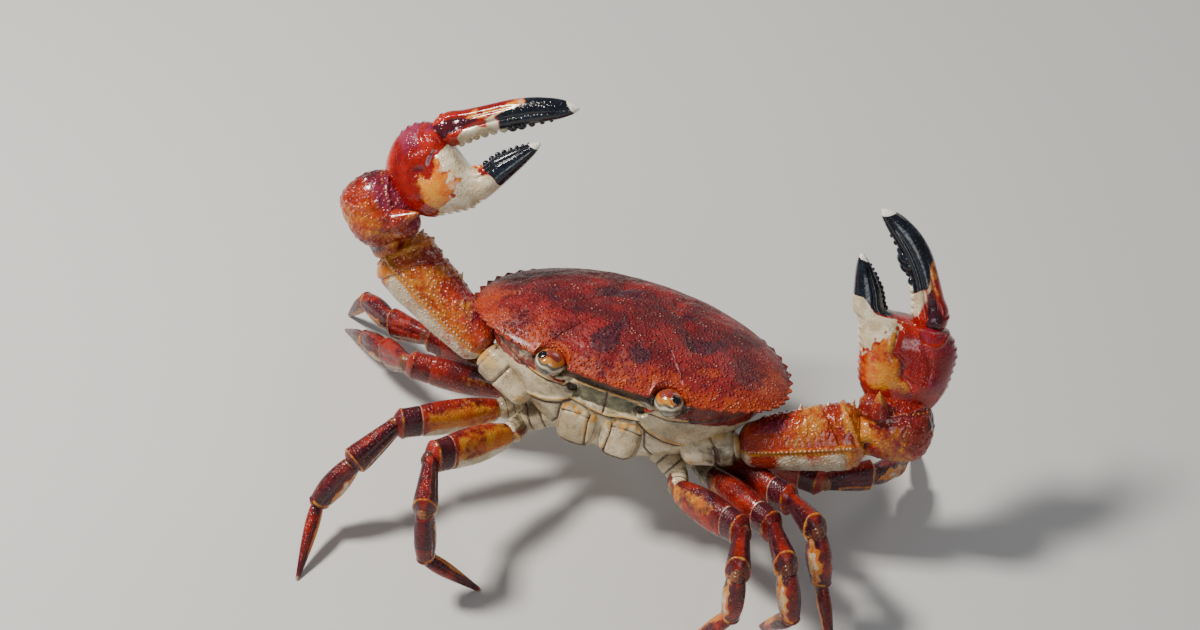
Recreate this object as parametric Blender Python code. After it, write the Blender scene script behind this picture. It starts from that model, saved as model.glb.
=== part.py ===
"""Red rock crab, life size, standing still on its eight legs with both claws raised and open.

Metres, +Z up. The crab faces -Y, its own left is +X, and the floor is z = 0. The origin is the middle of
the crab's box on the floor. Most sizes are shares of the width of the back, as crab measurements are given.
"""

import math

import bmesh
import bpy
import numpy as np
from mathutils import Euler, Matrix, Vector

# Driving dimensions
WIDTH = 0.120  # across the widest part of the back
GAP = 0.00034  # between neighbouring shells
BODY_PLACE = Vector((0.0092, 0.0287, 0.56 * WIDTH))  # the middle of the back's rim, above the floor
BODY_PITCH = math.radians(17.0)  # the front is raised
BODY_ROLL = math.radians(4.6)  # the crab's left side is lowered

# The back, in shares of WIDTH, in the body's own level frame, whose z = 0 is the rim of the back
RIM_WIDEST_Y = -0.04
RIM_FRONT_Y = -0.291
RIM_BACK_Y = 0.328
DOME_HEIGHT = 0.105
RIM_FULLNESS = 0.96  # 1 is an oval, and less is squarer
RIM_STEPS = 96
TEETH_FROM, TEETH_TO = 44.0, 138.0  # degrees round the rim from the front, on each side
TOOTH_LENGTH = 0.016
SERRATION_LENGTH = 0.006

# Eyes, mouthparts and feelers
EYE_AT = Vector((0.190, -0.268, -0.014))
EYE_RADIUS = 0.042
EYE_STALK_STRETCH = 1.22
MAXILLIPED_AT = Vector((0.058, -0.244, -0.180))
MAXILLIPED_HALF_WIDTH = 0.055
MAXILLIPED_HALF_HEIGHT = 0.086
MAXILLIPED_LEAN = math.radians(-13.0)
ANTENNA_ROOT = Vector((0.128, -0.292, -0.045))
ANTENNA_TIP = Vector((0.165, -0.352, 0.000))
ANTENNA_RADIUS = 0.0055

# Legs: each pair's hip on the body's right and left sides, and its five segment lengths
HIPS = {
    1: Vector((0.250, -0.132, -0.318)),
    2: Vector((0.280, -0.065, -0.305)),
    3: Vector((0.280, 0.018, -0.305)),
    4: Vector((0.262, 0.090, -0.300)),
}
SEGMENTS = ("hip", "merus", "carpus", "propodus", "dactyl")
SEGMENT_LENGTHS = {
    1: (0.090, 0.300, 0.180, 0.185, 0.240),
    2: (0.092, 0.325, 0.180, 0.185, 0.245),
    3: (0.090, 0.315, 0.180, 0.190, 0.240),
    4: (0.130, 0.290, 0.165, 0.185, 0.225),
}
SEGMENT_HALF_HEIGHT = (0.036, 0.059, 0.049, 0.045, 0.025)
SEGMENT_HALF_WIDTH = (0.032, 0.041, 0.034, 0.032, 0.019)
FOOT_RADIUS = 0.007
BEND_ROOM = 0.046  # the rings next to a joint stay this far from it, clear of its slanted cut
# How thick each segment is: at its start, past the first bend's room, halfway, before the last, at its end
SEGMENT_SWELL = {
    "hip": (0.84, 0.98, 1.00, 1.04, 0.88),
    "merus": (0.66, 0.82, 1.00, 0.90, 0.78),
    "carpus": (0.66, 0.78, 0.96, 1.08, 0.90),
    "propodus": (0.70, 0.86, 1.04, 0.90, 0.70),
}
DACTYL_PROFILE = ((0.0, 0.90), (0.20, 1.04), (0.50, 0.84), (0.80, 0.52))

# Degrees for each leg: headings are turned back (+) or forward (-) from straight out to the side, one for
# each segment, and rises are upward for all but the last segment, which reaches the floor.
LEG_POSES = {
    ("left", 1): ((-73, -31, -78, -97, 180), (0, 16, 9, -83)),
    ("left", 2): ((-36, -37, -62, -50, 140), (-2, 14, 12, -71)),
    ("left", 3): ((-34, -27, -50, -45, -50), (0, 15, 19, -71)),
    ("left", 4): ((-13, -8, 35, 66, 85), (-3, 0, -5, -31)),
    ("right", 1): ((-71, -56, -106, -110, 155), (-6, 17, -11, -78)),
    ("right", 2): ((-41, -36, -58, -46, -94), (-8, 5, -20, -47)),
    ("right", 3): ((-23, -9, 41, 37, 44), (-3, 8, -33, -27)),
    ("right", 4): ((-12, 9, 20, 34, 36), (-5, 4, -17, -14)),
}

# Claws: points from BODY_PLACE in the world's directions, and each palm's own axes
CLAW_HIP = Vector((0.262, -0.165, -0.222))  # in the body's frame
ARM_UPWARD = Vector((0.0, 0.6, 0.8))  # the spiny edge of both arms faces up and back
CLAW_KNEE_SHARE = 0.30  # of the way from the hip to the elbow
CLAW_POSES = {
    "left": {
        "elbow": Vector((0.752, -0.040, -0.110)),
        "carpus": Vector((0.838, 0.010, -0.082)),
        "wrist": Vector((0.834, 0.057, -0.040)),
        "along": Vector((-0.10, 0.45, 0.89)),
        "towards_dactyl": Vector((0.95, 0.29, -0.04)),
        "hinge": (0.285, 0.062),
        "dactyl_tip": (0.612, -0.128),
        "bow": 0.038,
        "gape": 0.278,
        "fixed_root": (0.300, -0.126),
        "fixed_tip": (0.471, -0.170),
    },
    "right": {
        "elbow": Vector((-0.786, -0.034, 0.138)),
        "carpus": Vector((-0.824, -0.036, 0.298)),
        "wrist": Vector((-0.771, 0.020, 0.364)),
        "along": Vector((0.768, 0.392, 0.507)),
        "towards_dactyl": Vector((-0.638, 0.480, 0.602)),
        "hinge": (0.205, 0.086),
        "dactyl_tip": (0.606, -0.038),
        "bow": 0.018,
        "gape": 0.200,
        "fixed_root": (0.225, -0.100),
        "fixed_tip": (0.450, -0.078),
    },
}
CARPUS_HALF = Vector((0.112, 0.102, 0.094))  # towards the movable finger, along the palm, out
CARPUS_SQUARENESS = 2.6  # 2 is an ellipsoid, and more is boxier
# Share of the arm's length, and of its full thickness
ARM_BASE_PROFILE = ((-0.35, 0.70), (0.3, 0.92), (0.8, 1.06), (1.0, 0.98))
ARM_BASE_HALF = (0.060, 0.054)
MERUS_PROFILE = ((0.0, 0.64), (0.14, 0.75), (0.5, 0.92), (0.86, 1.0), (1.06, 0.74))
MERUS_HALF = (0.098, 0.072)
# Along the palm, towards the movable finger, and half its height and width there
# Share of the way from wrist to gape, then towards the movable finger, and half its height and width there
PALM_LEVELS = (
    (0.0, 0.0, 0.092, 0.056),
    (0.20, 0.0, 0.126, 0.068),
    (0.46, 0.002, 0.143, 0.078),
    (0.72, -0.006, 0.147, 0.080),
    (0.90, -0.020, 0.131, 0.072),
)
GAPE_HALF = (0.088, 0.062)
# Share of the finger's length, and half its height and width there
FIXED_FINGER_SIZES = ((0.0, 0.053, 0.048), (0.4, 0.039, 0.038), (0.75, 0.024, 0.025))
FINGER_TIP_HALF = 0.006
MOVABLE_FINGER_SIZES = (
    (-0.04, 0.042, 0.036),
    (0.02, 0.052, 0.046),
    (0.16, 0.046, 0.043),
    (0.34, 0.042, 0.040),
    (0.54, 0.042, 0.037),
    (0.74, 0.037, 0.031),
    (0.90, 0.025, 0.021),
    (1.0, 0.006, 0.006),
)
THORN_SHARES = (0.50, 0.72, 0.92)  # along the arm
THORN_FOOT, THORN_RISE, THORN_LEAN, THORN_RADIUS = 0.080, 0.034, 0.012, 0.014
# The wrist's spike: towards the movable finger, along the palm and outward, then its reach and radius
SPIKE_FOOT, SPIKE_REACH, SPIKE_RADIUS = (-0.060, 0.050, 0.078), (-0.010, 0.070, 0.028), 0.022

# The body below the rim: height, half-width, front and back
UNDERBODY_LEVELS = (
    (-0.0235, 0.455, -0.262, 0.290),
    (-0.080, 0.440, -0.266, 0.290),
    (-0.150, 0.395, -0.256, 0.275),
    (-0.220, 0.335, -0.238, 0.245),
    (-0.280, 0.275, -0.205, 0.205),
    (-0.325, 0.200, -0.150, 0.150),
    (-0.340, 0.110, -0.090, 0.090),
)
UNDERBODY_STEPS = 44
# The tail flap's middle line: back, up, and half its width there
FLAP_PATH = (
    (0.295, -0.040, 0.120),
    (0.288, -0.130, 0.120),
    (0.262, -0.215, 0.115),
    (0.205, -0.300, 0.100),
    (0.110, -0.350, 0.075),
    (0.000, -0.356, 0.045),
)
FLAP_HALF_THICKNESS = 0.020

SIDES = {"left": 1.0, "right": -1.0}


def material(name, colour, roughness):
    made = bpy.data.materials.new(name)
    made.use_nodes = True
    shader = made.node_tree.nodes["Principled BSDF"]
    shader.inputs["Base Color"].default_value = (*colour, 1.0)
    shader.inputs["Roughness"].default_value = roughness
    shader.inputs["Metallic"].default_value = 0.0
    made.diffuse_color = (*colour, 1.0)
    return made


def collection(name, helper=False):
    made = bpy.data.collections.new(name)
    made.hide_render = helper
    bpy.context.scene.collection.children.link(made)
    return made


def add_object(name, mesh, home, paint=None, parent=None):
    made = bpy.data.objects.new(name, mesh)
    home.objects.link(made)
    made.parent = parent
    if paint:
        mesh.materials.append(paint)
        mesh.shade_smooth()
        mesh.set_sharp_from_angle(angle=math.radians(50))
    if home.hide_render:
        made.hide_render = True
        made.display_type = "WIRE"
    return made


def ring(centre, side, up, half_side, half_up, count, power=2.3):
    """Points round a rounded oblong; power 2 is an ellipse and more is squarer."""
    turn = np.arange(count) * 2 * math.pi / count + math.pi / count
    across = np.sign(np.cos(turn)) * np.abs(np.cos(turn)) ** (2 / power) * half_side
    along = np.sign(np.sin(turn)) * np.abs(np.sin(turn)) ** (2 / power) * half_up
    return np.array(centre) + across[:, None] * np.array(side) + along[:, None] * np.array(up)


def loft(name, rings):
    """A closed mesh through rings of equally many points, with its faces turned outward."""
    count = len(rings[0])
    points = np.concatenate(rings)
    faces = [tuple(range(count)), tuple(range(len(points) - 1, len(points) - count - 1, -1))]
    for level in range(len(rings) - 1):
        for step in range(count):
            after = (step + 1) % count
            low, high = level * count, (level + 1) * count
            faces.append((low + step, high + step, high + after, low + after))
    mesh = bpy.data.meshes.new(name)
    mesh.from_pydata(points.tolist(), [], faces)
    form = bmesh.new()
    form.from_mesh(mesh)
    bmesh.ops.recalc_face_normals(form, faces=form.faces)
    form.to_mesh(mesh)
    form.free()
    return mesh


def boolean(target, other, operation):
    step = target.modifiers.new(operation.title(), "BOOLEAN")
    step.operation = operation
    step.solver = "EXACT"
    step.object = other


def ball(name, centre, half, rotation, home, segments=16, paint=None, parent=None, power=2.0):
    """An ellipsoid with half-sizes half, turned by rotation (a 3x3 matrix) round its centre.

    A power above 2 makes it boxier without making it longer, wider or higher.
    """
    mesh = bpy.data.meshes.new(name)
    form = bmesh.new()
    bmesh.ops.create_uvsphere(form, u_segments=segments, v_segments=segments * 5 // 8, radius=1.0)
    for vert in form.verts:
        vert.co /= sum(abs(share) ** power for share in vert.co) ** (1 / power)
    bmesh.ops.transform(form, matrix=Matrix.Diagonal((*half, 1.0)), verts=form.verts)
    form.to_mesh(mesh)
    form.free()
    made = add_object(name, mesh, home, paint, parent)
    made.location = centre
    made.rotation_euler = rotation.to_euler()
    return made


def rim_point(turn):
    """The rim of the back at turn radians from the middle of the front, without its teeth."""
    reach = (RIM_WIDEST_Y - RIM_FRONT_Y) if math.cos(turn) > 0 else (RIM_BACK_Y - RIM_WIDEST_Y)
    across, along = math.sin(turn), math.cos(turn)
    x = 0.5 * math.copysign(abs(across) ** RIM_FULLNESS, across)
    y = RIM_WIDEST_Y - reach * math.copysign(abs(along) ** RIM_FULLNESS, along)
    return Vector((x, y, 0.0))


def rim_ring():
    """The toothed rim: every other point stands out, most along the front of each side."""
    points = []
    for step in range(RIM_STEPS):
        degrees = step * 360.0 / RIM_STEPS
        point = rim_point(math.radians(degrees))
        from_front = min(degrees, 360.0 - degrees)
        tooth = 0.0
        if step % 2:
            tooth = TOOTH_LENGTH if TEETH_FROM < from_front < TEETH_TO else SERRATION_LENGTH
        points.append(point * (1.0 + tooth / point.length))
    return np.array(points)


def shrunk(outline, share, height):
    middle = np.array((0.0, 0.5 * (RIM_FRONT_Y + RIM_BACK_Y), 0.0))
    level = middle + (outline - middle) * share
    level[:, 2] = height
    return level * WIDTH


def carapace(home, paint, pose):
    outline = rim_ring()
    smooth = np.array([rim_point(step * 2 * math.pi / RIM_STEPS) for step in range(RIM_STEPS)])
    shares = (0.93, 0.80, 0.60, 0.36, 0.12)
    rings = [shrunk(smooth, 0.90, -0.020), shrunk(smooth, 0.975, -0.012)]
    rings.append(shrunk(outline, 1.0, 0.0))
    for share in shares:
        rings.append(shrunk(smooth, share, DOME_HEIGHT * (1.0 - share**2.4) ** 0.85))
    return add_object("carapace", loft("carapace", rings), home, paint, pose)


def underbody_mesh(name, grow=0.0):
    """Horizontal outlines stacked from under the rim to the breastplate, all pushed out by grow."""
    rings = []
    for height, half, front, back in UNDERBODY_LEVELS:
        turn = np.arange(UNDERBODY_STEPS) * 2 * math.pi / UNDERBODY_STEPS
        forward = np.cos(turn) > 0
        x = (half * WIDTH + grow) * np.sign(np.sin(turn)) * np.abs(np.sin(turn)) ** 0.92
        reach = np.where(forward, -front, back) * WIDTH + grow
        y = -np.sign(np.cos(turn)) * reach * np.abs(np.cos(turn)) ** 0.85
        z = np.full(UNDERBODY_STEPS, height * WIDTH - (grow if height < -0.3 else 0.0))
        rings.append(np.stack([x, y, z], 1))
    if grow:
        rings[0][:, 2] += 4 * grow
    return loft(name, rings)


def body_matrix():
    turned = Euler((-BODY_PITCH, BODY_ROLL, 0.0)).to_matrix()
    return Matrix.Translation(BODY_PLACE) @ turned.to_4x4()


def on_body(point, side=1.0):
    """A point of the body's frame, in shares of WIDTH, as a world point on the side asked for."""
    return body_matrix() @ (Vector((point.x * side, point.y, point.z)) * WIDTH)


def eyes_and_mouth(home, helpers, paints, pose, shell, under, under_cutter):
    for label, side in SIDES.items():
        at = Vector((EYE_AT.x * side, EYE_AT.y, EYE_AT.z)) * WIDTH
        half = Vector((EYE_RADIUS * EYE_STALK_STRETCH, EYE_RADIUS, EYE_RADIUS)) * WIDTH
        turn = Euler((0.0, math.radians(-12.0 * side), math.radians(-25.0 * side))).to_matrix()
        ball(f"eye_{label}", at, half, turn, home, 16, paints["eye"], pose)
        socket = ball(f"socket_{label}", at, half * 1.13, turn, helpers, 16, None, pose)
        boolean(shell, socket, "DIFFERENCE")
        boolean(under, socket, "DIFFERENCE")
        plate = add_object(f"maxilliped_{label}", maxilliped_mesh("plate"), home, paints["cream"], pose)
        plate.location = Vector((MAXILLIPED_AT.x * side, MAXILLIPED_AT.y, MAXILLIPED_AT.z)) * WIDTH
        plate.rotation_euler = (MAXILLIPED_LEAN, 0.0, 0.0)
        boolean(plate, under_cutter, "DIFFERENCE")
        antenna(f"antenna_{label}", side, home, paints["leg"], pose)


def maxilliped_mesh(name):
    """One of the two plates that close the mouth like doors. Its back is cut off inside the body."""
    rings = []
    for depth, share in ((0.040, 1.0), (-0.012, 1.0), (-0.024, 0.88), (-0.029, 0.55)):
        half_width = MAXILLIPED_HALF_WIDTH * share * WIDTH
        half_height = MAXILLIPED_HALF_HEIGHT * share * WIDTH
        rings.append(ring((0.0, depth * WIDTH, 0.0), (1, 0, 0), (0, 0, 1), half_width, half_height, 20, 3.4))
    return loft(name, rings)


def antenna(name, side, home, paint, pose):
    """A short tapering feeler from beside the eye socket."""
    curve = bpy.data.curves.new(name, "CURVE")
    curve.dimensions = "3D"
    curve.bevel_depth = ANTENNA_RADIUS * WIDTH
    curve.bevel_resolution = 1
    curve.use_fill_caps = True
    spline = curve.splines.new("POLY")
    spline.points.add(4)
    for index, point in enumerate(spline.points):
        share = index / 4
        place = ANTENNA_ROOT.lerp(ANTENNA_TIP, share) * WIDTH
        lift = 0.012 * WIDTH * math.sin(share * math.pi)
        point.co = (place.x * side, place.y - lift, place.z, 1.0)
        point.radius = 1.0 - 0.5 * share
    made = bpy.data.objects.new(name, curve)
    curve.materials.append(paint)
    home.objects.link(made)
    made.parent = pose


def abdomen(home, paint, pose, under_cutter):
    """The tail flap, folded from the back of the shell forward under the breast."""
    rings = []
    for index, (y, z, half) in enumerate(FLAP_PATH):
        before = FLAP_PATH[max(index - 1, 0)]
        after = FLAP_PATH[min(index + 1, len(FLAP_PATH) - 1)]
        along = Vector((0.0, after[0] - before[0], after[1] - before[1])).normalized()
        out = Vector((1.0, 0.0, 0.0)).cross(along)
        middle = Vector((0.0, y, z)) * WIDTH
        rings.append(ring(middle, (1, 0, 0), out, half * WIDTH, FLAP_HALF_THICKNESS * WIDTH, 12, 3.0))
    flap = add_object("abdomen", loft("abdomen", rings), home, paint, pose)
    boolean(flap, under_cutter, "DIFFERENCE")


def direction(heading, rise, side):
    heading, rise = math.radians(heading), math.radians(rise)
    level = math.cos(rise)
    return Vector((side * level * math.cos(heading), level * math.sin(heading), math.sin(rise)))


def onto_plane(points, along, origin, normal, offset):
    """Slides points along a direction until they lie on a plane, offset from origin by offset."""
    along, origin, normal = np.array(along), np.array(origin), np.array(normal)
    distance = (offset - (points - origin) @ normal) / (along @ normal)
    return points + distance[:, None] * along


def limb_mesh(name, start, end, lateral, half_height, half_width, start_cut, end_cut, profile, count=8):
    """One segment from start to end. Each cut is a plane (origin, normal, offset) or None for a square end.

    profile lists (share of the length, share of the thickness) for its rings.
    """
    along = (end - start).normalized()
    side = (lateral - along * lateral.dot(along)).normalized()
    up = side.cross(along)
    rings = []
    for share, size in profile:
        middle = start.lerp(end, share)
        rings.append(ring(middle, side, up, half_width * size, half_height * size, count))
    if start_cut:
        rings[0] = onto_plane(rings[0], along, *start_cut)
    if end_cut:
        rings[-1] = onto_plane(rings[-1], along, *end_cut)
    return loft(name, rings)


def joint_cuts(joints, index):
    """The planes that part two segments at joint index: the end of one and the start of the next."""
    before = (joints[index] - joints[index - 1]).normalized()
    after = (joints[index + 1] - joints[index]).normalized()
    normal = (before + after).normalized()
    return (joints[index], normal, -GAP / 2), (joints[index], normal, GAP / 2)


def leg_profile(segment, pair, foot_share):
    """The rings of a leg's segment, as (share of its length, share of its thickness)."""
    if segment == "dactyl":
        return DACTYL_PROFILE + ((1.0, foot_share),)
    length = max(SEGMENT_LENGTHS[pair][SEGMENTS.index(segment)], 2.4 * BEND_ROOM)
    room = BEND_ROOM / length
    return tuple(zip((0.0, room, 0.5, 1.0 - room, 1.0), SEGMENT_SWELL[segment]))


def leg_joints(label, pair):
    """Six points from the hip to the foot. The last segment leans so that its end is on the floor."""
    side = SIDES[label]
    headings, rises = LEG_POSES[label, pair]
    lengths = [share * WIDTH for share in SEGMENT_LENGTHS[pair]]
    joints = [on_body(HIPS[pair], side)]
    for heading, rise, length in zip(headings, rises, lengths):
        joints.append(joints[-1] + direction(heading, rise, side) * length)
    drop = math.degrees(math.asin(min(joints[-1].z / lengths[-1], 1.0)))
    joints.append(joints[-1] + direction(headings[-1], -drop, side) * lengths[-1])
    return joints


def leg(label, pair, home, paints, under_cutter):
    joints = leg_joints(label, pair)
    reach = joints[5] - joints[1]
    lateral = Vector((-reach.y, reach.x, 0.0)).normalized()
    floor = (Vector((0.0, 0.0, 0.0)), Vector((0.0, 0.0, 1.0)), 0.0)
    cuts = {index: joint_cuts(joints, index) for index in range(1, 5)}
    for index, segment in enumerate(SEGMENTS):
        start_cut = cuts[index][1] if index else None
        end_cut = cuts[index + 1][0] if index < 4 else floor
        half_height = SEGMENT_HALF_HEIGHT[index] * WIDTH
        half_width = SEGMENT_HALF_WIDTH[index] * WIDTH
        name = f"leg{pair}_{label}_{segment}"
        profile = leg_profile(segment, pair, FOOT_RADIUS / SEGMENT_HALF_HEIGHT[index])
        start, end = joints[index], joints[index + 1]
        mesh = limb_mesh(name, start, end, lateral, half_height, half_width, start_cut, end_cut, profile)
        piece = add_object(name, mesh, home, paints["cream" if segment == "hip" else "leg"])
        if segment == "hip":
            boolean(piece, under_cutter, "DIFFERENCE")


def claw_frame(pose):
    """The palm's origin and axes: along the palm, towards the movable finger, and out of its outer face."""
    along = pose["along"].normalized()
    towards = (pose["towards_dactyl"] - along * pose["towards_dactyl"].dot(along)).normalized()
    return BODY_PLACE + pose["wrist"] * WIDTH, along, towards, along.cross(towards)


def in_claw(frame, u, v):
    origin, along, towards, _ = frame
    return origin + (along * u + towards * v) * WIDTH


def palm_mesh(name, pose, frame):
    """The palm narrows to the wrist and runs on into the fixed finger along its lower edge."""
    _, along, towards, out = frame
    tip_u, tip_v = pose["fixed_tip"]
    root_u, root_v = pose["fixed_root"]
    gape_u = pose["gape"]
    levels = [(share * gape_u, *rest) for share, *rest in PALM_LEVELS]
    levels.append((gape_u, root_v / 2, *GAPE_HALF))
    for share, half_height, half_width in FIXED_FINGER_SIZES:
        u = root_u + (tip_u - root_u) * share
        v = root_v + (tip_v - root_v) * share
        levels.append((u, v, half_height, half_width))
    levels.append((tip_u, tip_v, FINGER_TIP_HALF, FINGER_TIP_HALF))
    rings = []
    for u, v, half_height, half_width in levels:
        centre = in_claw(frame, u, v)
        rings.append(ring(centre, out, towards, half_width * WIDTH, half_height * WIDTH, 14, 2.5))
    return loft(name, rings)


def finger_path(pose, share):
    """The movable finger's centre line: a straight chord bowed outward, most near its tip."""
    root, tip = Vector(pose["hinge"]), Vector(pose["dactyl_tip"])
    chord = tip - root
    away = Vector((-chord.y, chord.x)).normalized()
    return root + chord * share + away * pose["bow"] * math.sin(math.pi * share**1.15)


def finger_mesh(name, pose, frame, grow=0.0):
    _, along, towards, out = frame
    rings = []
    for share, half_height, half_width in MOVABLE_FINGER_SIZES:
        on_path = max(share, 0.0)
        before = finger_path(pose, max(on_path - 0.03, 0.0))
        run = (finger_path(pose, min(on_path + 0.03, 1.0)) - before).normalized()
        here = finger_path(pose, on_path) + run * min(share, 0.0) * 0.35
        across = along * -run.y + towards * run.x
        centre = in_claw(frame, here.x, here.y)
        rings.append(ring(centre, out, across, half_width * WIDTH + grow, half_height * WIDTH + grow, 12))
    return loft(name, rings)


def spine(target, base, tip, radius, helpers):
    """A small thorn, joined to the shell that it grows from."""
    axis = tip - base
    mesh = bpy.data.meshes.new("thorn")
    form = bmesh.new()
    bmesh.ops.create_cone(
        form, cap_ends=True, segments=6, radius1=radius, radius2=radius * 0.12, depth=axis.length
    )
    form.to_mesh(mesh)
    form.free()
    thorn = add_object(f"thorn_{target.name}_{len(helpers.objects)}", mesh, helpers)
    thorn.location = base + axis / 2
    thorn.rotation_euler = axis.to_track_quat("Z", "Y").to_euler()
    boolean(target, thorn, "UNION")


def claw(label, home, helpers, paints, under_cutter):
    pose = CLAW_POSES[label]
    side = SIDES[label]
    hip = on_body(CLAW_HIP, side)
    elbow = BODY_PLACE + pose["elbow"] * WIDTH
    knee = hip.lerp(elbow, CLAW_KNEE_SHARE)
    arm = (elbow - hip).normalized()
    upward = (ARM_UPWARD - arm * arm.dot(ARM_UPWARD)).normalized()
    lateral = arm.cross(upward)
    part = (knee, arm, -GAP / 2)
    name = f"claw_{label}_base"
    height, width = (half * WIDTH for half in ARM_BASE_HALF)
    mesh = limb_mesh(name, hip, knee, lateral, height, width, None, part, ARM_BASE_PROFILE, 12)
    base = add_object(name, mesh, home, paints["cream"])
    boolean(base, under_cutter, "DIFFERENCE")

    part = (knee, arm, GAP / 2)
    name = f"claw_{label}_merus"
    height, width = (half * WIDTH for half in MERUS_HALF)
    mesh = limb_mesh(name, knee, elbow, lateral, height, width, part, None, MERUS_PROFILE, 12)
    merus = add_object(name, mesh, home, paints["claw"])
    boolean(merus, under_cutter, "DIFFERENCE")

    centre = BODY_PLACE + pose["carpus"] * WIDTH
    frame = claw_frame(pose)
    _, along, towards, out = frame
    turn = Matrix((towards, out, along)).transposed()
    half = Vector((CARPUS_HALF.x, CARPUS_HALF.z, CARPUS_HALF.y)) * WIDTH
    name, power = f"claw_{label}_carpus", CARPUS_SQUARENESS
    wrist_bulb = ball(name, centre, half, turn, home, 18, paints["claw"], None, power)
    grown = half + Vector((GAP, GAP, GAP)) * 1.6
    cutter = ball(f"cutter_carpus_{label}", centre, grown, turn, helpers, 18, None, None, power)
    boolean(merus, cutter, "DIFFERENCE")

    palm = add_object(f"claw_{label}_palm", palm_mesh("palm", pose, frame), home, paints["claw"])
    boolean(palm, cutter, "DIFFERENCE")
    dactyl_cutter = add_object(
        f"cutter_dactyl_{label}", finger_mesh("cutter", pose, frame, GAP * 1.2), helpers
    )
    boolean(palm, dactyl_cutter, "DIFFERENCE")
    add_object(f"claw_{label}_dactyl", finger_mesh("dactyl", pose, frame), home, paints["finger"])

    for share in THORN_SHARES:
        foot = knee.lerp(elbow, share) + upward * THORN_FOOT * WIDTH
        point = foot + (upward * THORN_RISE + arm * THORN_LEAN) * WIDTH
        spine(merus, foot, point, THORN_RADIUS * WIDTH, helpers)
    wrist_axes = Matrix((towards, along, out * -side)).transposed()
    foot = centre + wrist_axes @ Vector(SPIKE_FOOT) * WIDTH
    spine(wrist_bulb, foot, foot + wrist_axes @ Vector(SPIKE_REACH) * WIDTH, SPIKE_RADIUS * WIDTH, helpers)


def main():
    for old in list(bpy.data.objects):
        bpy.data.objects.remove(old, do_unlink=True)
    home = collection("red_rock_crab")
    helpers = collection("cutters", helper=True)
    paints = {
        "shell": material("brick red shell", (0.42, 0.045, 0.02), 0.45),
        "claw": material("crimson claw shell", (0.48, 0.03, 0.015), 0.22),
        "leg": material("banded leg shell", (0.40, 0.04, 0.02), 0.35),
        "finger": material("black finger", (0.012, 0.014, 0.02), 0.18),
        "cream": material("cream underside", (0.62, 0.53, 0.36), 0.5),
        "eye": material("grey eye", (0.45, 0.42, 0.33), 0.2),
    }
    pose = bpy.data.objects.new("body_pose", None)
    home.objects.link(pose)
    pose.matrix_world = body_matrix()

    shell = carapace(home, paints["shell"], pose)
    under = add_object("underbody", underbody_mesh("underbody"), home, paints["cream"], pose)
    under_cutter = add_object("cutter_body", underbody_mesh("cutter_body", GAP * 1.1), helpers, None, pose)
    eyes_and_mouth(home, helpers, paints, pose, shell, under, under_cutter)
    abdomen(home, paints["cream"], pose, under_cutter)
    for label in SIDES:
        claw(label, home, helpers, paints, under_cutter)
        for pair in HIPS:
            leg(label, pair, home, paints, under_cutter)


main()
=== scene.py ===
# %% [markdown]
# # A red rock crab, standing with both claws raised
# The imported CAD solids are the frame: every plate, limb and finger has its place there. Each is dressed here
# with a finer surface in the same place, because a real shell shows grain, ridges, beads and patches of
# colour that a solid for collision leaves out. The frame comes first, so that all the rest has a place.

# %% Load the frame
import math
import bpy
import numpy as np
from mathutils import Matrix, Vector
from types import SimpleNamespace


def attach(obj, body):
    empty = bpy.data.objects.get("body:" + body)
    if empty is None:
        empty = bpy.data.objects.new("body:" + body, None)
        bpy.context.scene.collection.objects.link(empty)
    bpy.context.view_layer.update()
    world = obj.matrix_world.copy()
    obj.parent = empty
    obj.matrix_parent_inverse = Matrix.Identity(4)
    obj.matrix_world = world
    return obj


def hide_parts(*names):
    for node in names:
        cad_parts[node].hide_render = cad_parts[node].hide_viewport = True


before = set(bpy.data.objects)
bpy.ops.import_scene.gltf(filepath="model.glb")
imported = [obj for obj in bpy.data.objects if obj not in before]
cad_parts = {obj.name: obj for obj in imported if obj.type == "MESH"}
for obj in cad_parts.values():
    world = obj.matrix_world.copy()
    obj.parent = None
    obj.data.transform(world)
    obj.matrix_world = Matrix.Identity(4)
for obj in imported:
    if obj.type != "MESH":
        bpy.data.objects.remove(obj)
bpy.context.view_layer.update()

# %% [markdown]
# ## Sizes and the body's own frame
# Crab measurements are given as shares of the width of the back, so a scale factor and one turned frame put
# every part of the body in place. The body leans back a little and dips to the crab's left. In its frame x
# runs to the crab's left, y to its rear and z up, from the middle of the back's rim.

# %% The body's frame
W = 0.120
BODY_PLACE = np.array((0.0092, 0.0287, 0.0672))
PITCH, ROLL = math.radians(17.0), math.radians(4.6)
tilt = np.array(((1, 0, 0), (0, math.cos(PITCH), math.sin(PITCH)), (0, -math.sin(PITCH), math.cos(PITCH))))
lean = np.array(((math.cos(ROLL), 0, math.sin(ROLL)), (0, 1, 0), (-math.sin(ROLL), 0, math.cos(ROLL))))
BODY_TURN = lean @ tilt
SIDES = {"left": 1.0, "right": -1.0}


def on_body(points):
    """World places of points given in the body's frame: turned, scaled by the width and moved."""
    return BODY_PLACE + W * np.asarray(points, float) @ BODY_TURN.T


print("middle of the back's rim at", on_body((0, 0, 0)))

# %% [markdown]
# ## Surfaces as grids
# Each plate or limb is a grid of points: rows that run along it, and turns that run round it. Numpy works out
# the whole grid at once, and a pole closes each end. A form keeps its points, faces and painted fields, so
# that small forms such as thorns and beads can be joined to a larger one before Blender sees them.


# %% Curves and soft steps
def unit(vector):
    """The vector divided by its length."""
    vector = np.asarray(vector, float)
    return vector / np.linalg.norm(vector, axis=-1, keepdims=True)


def around(steps):
    """Evenly spaced angles, once round."""
    return np.arange(steps) / steps * 2 * np.pi


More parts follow.
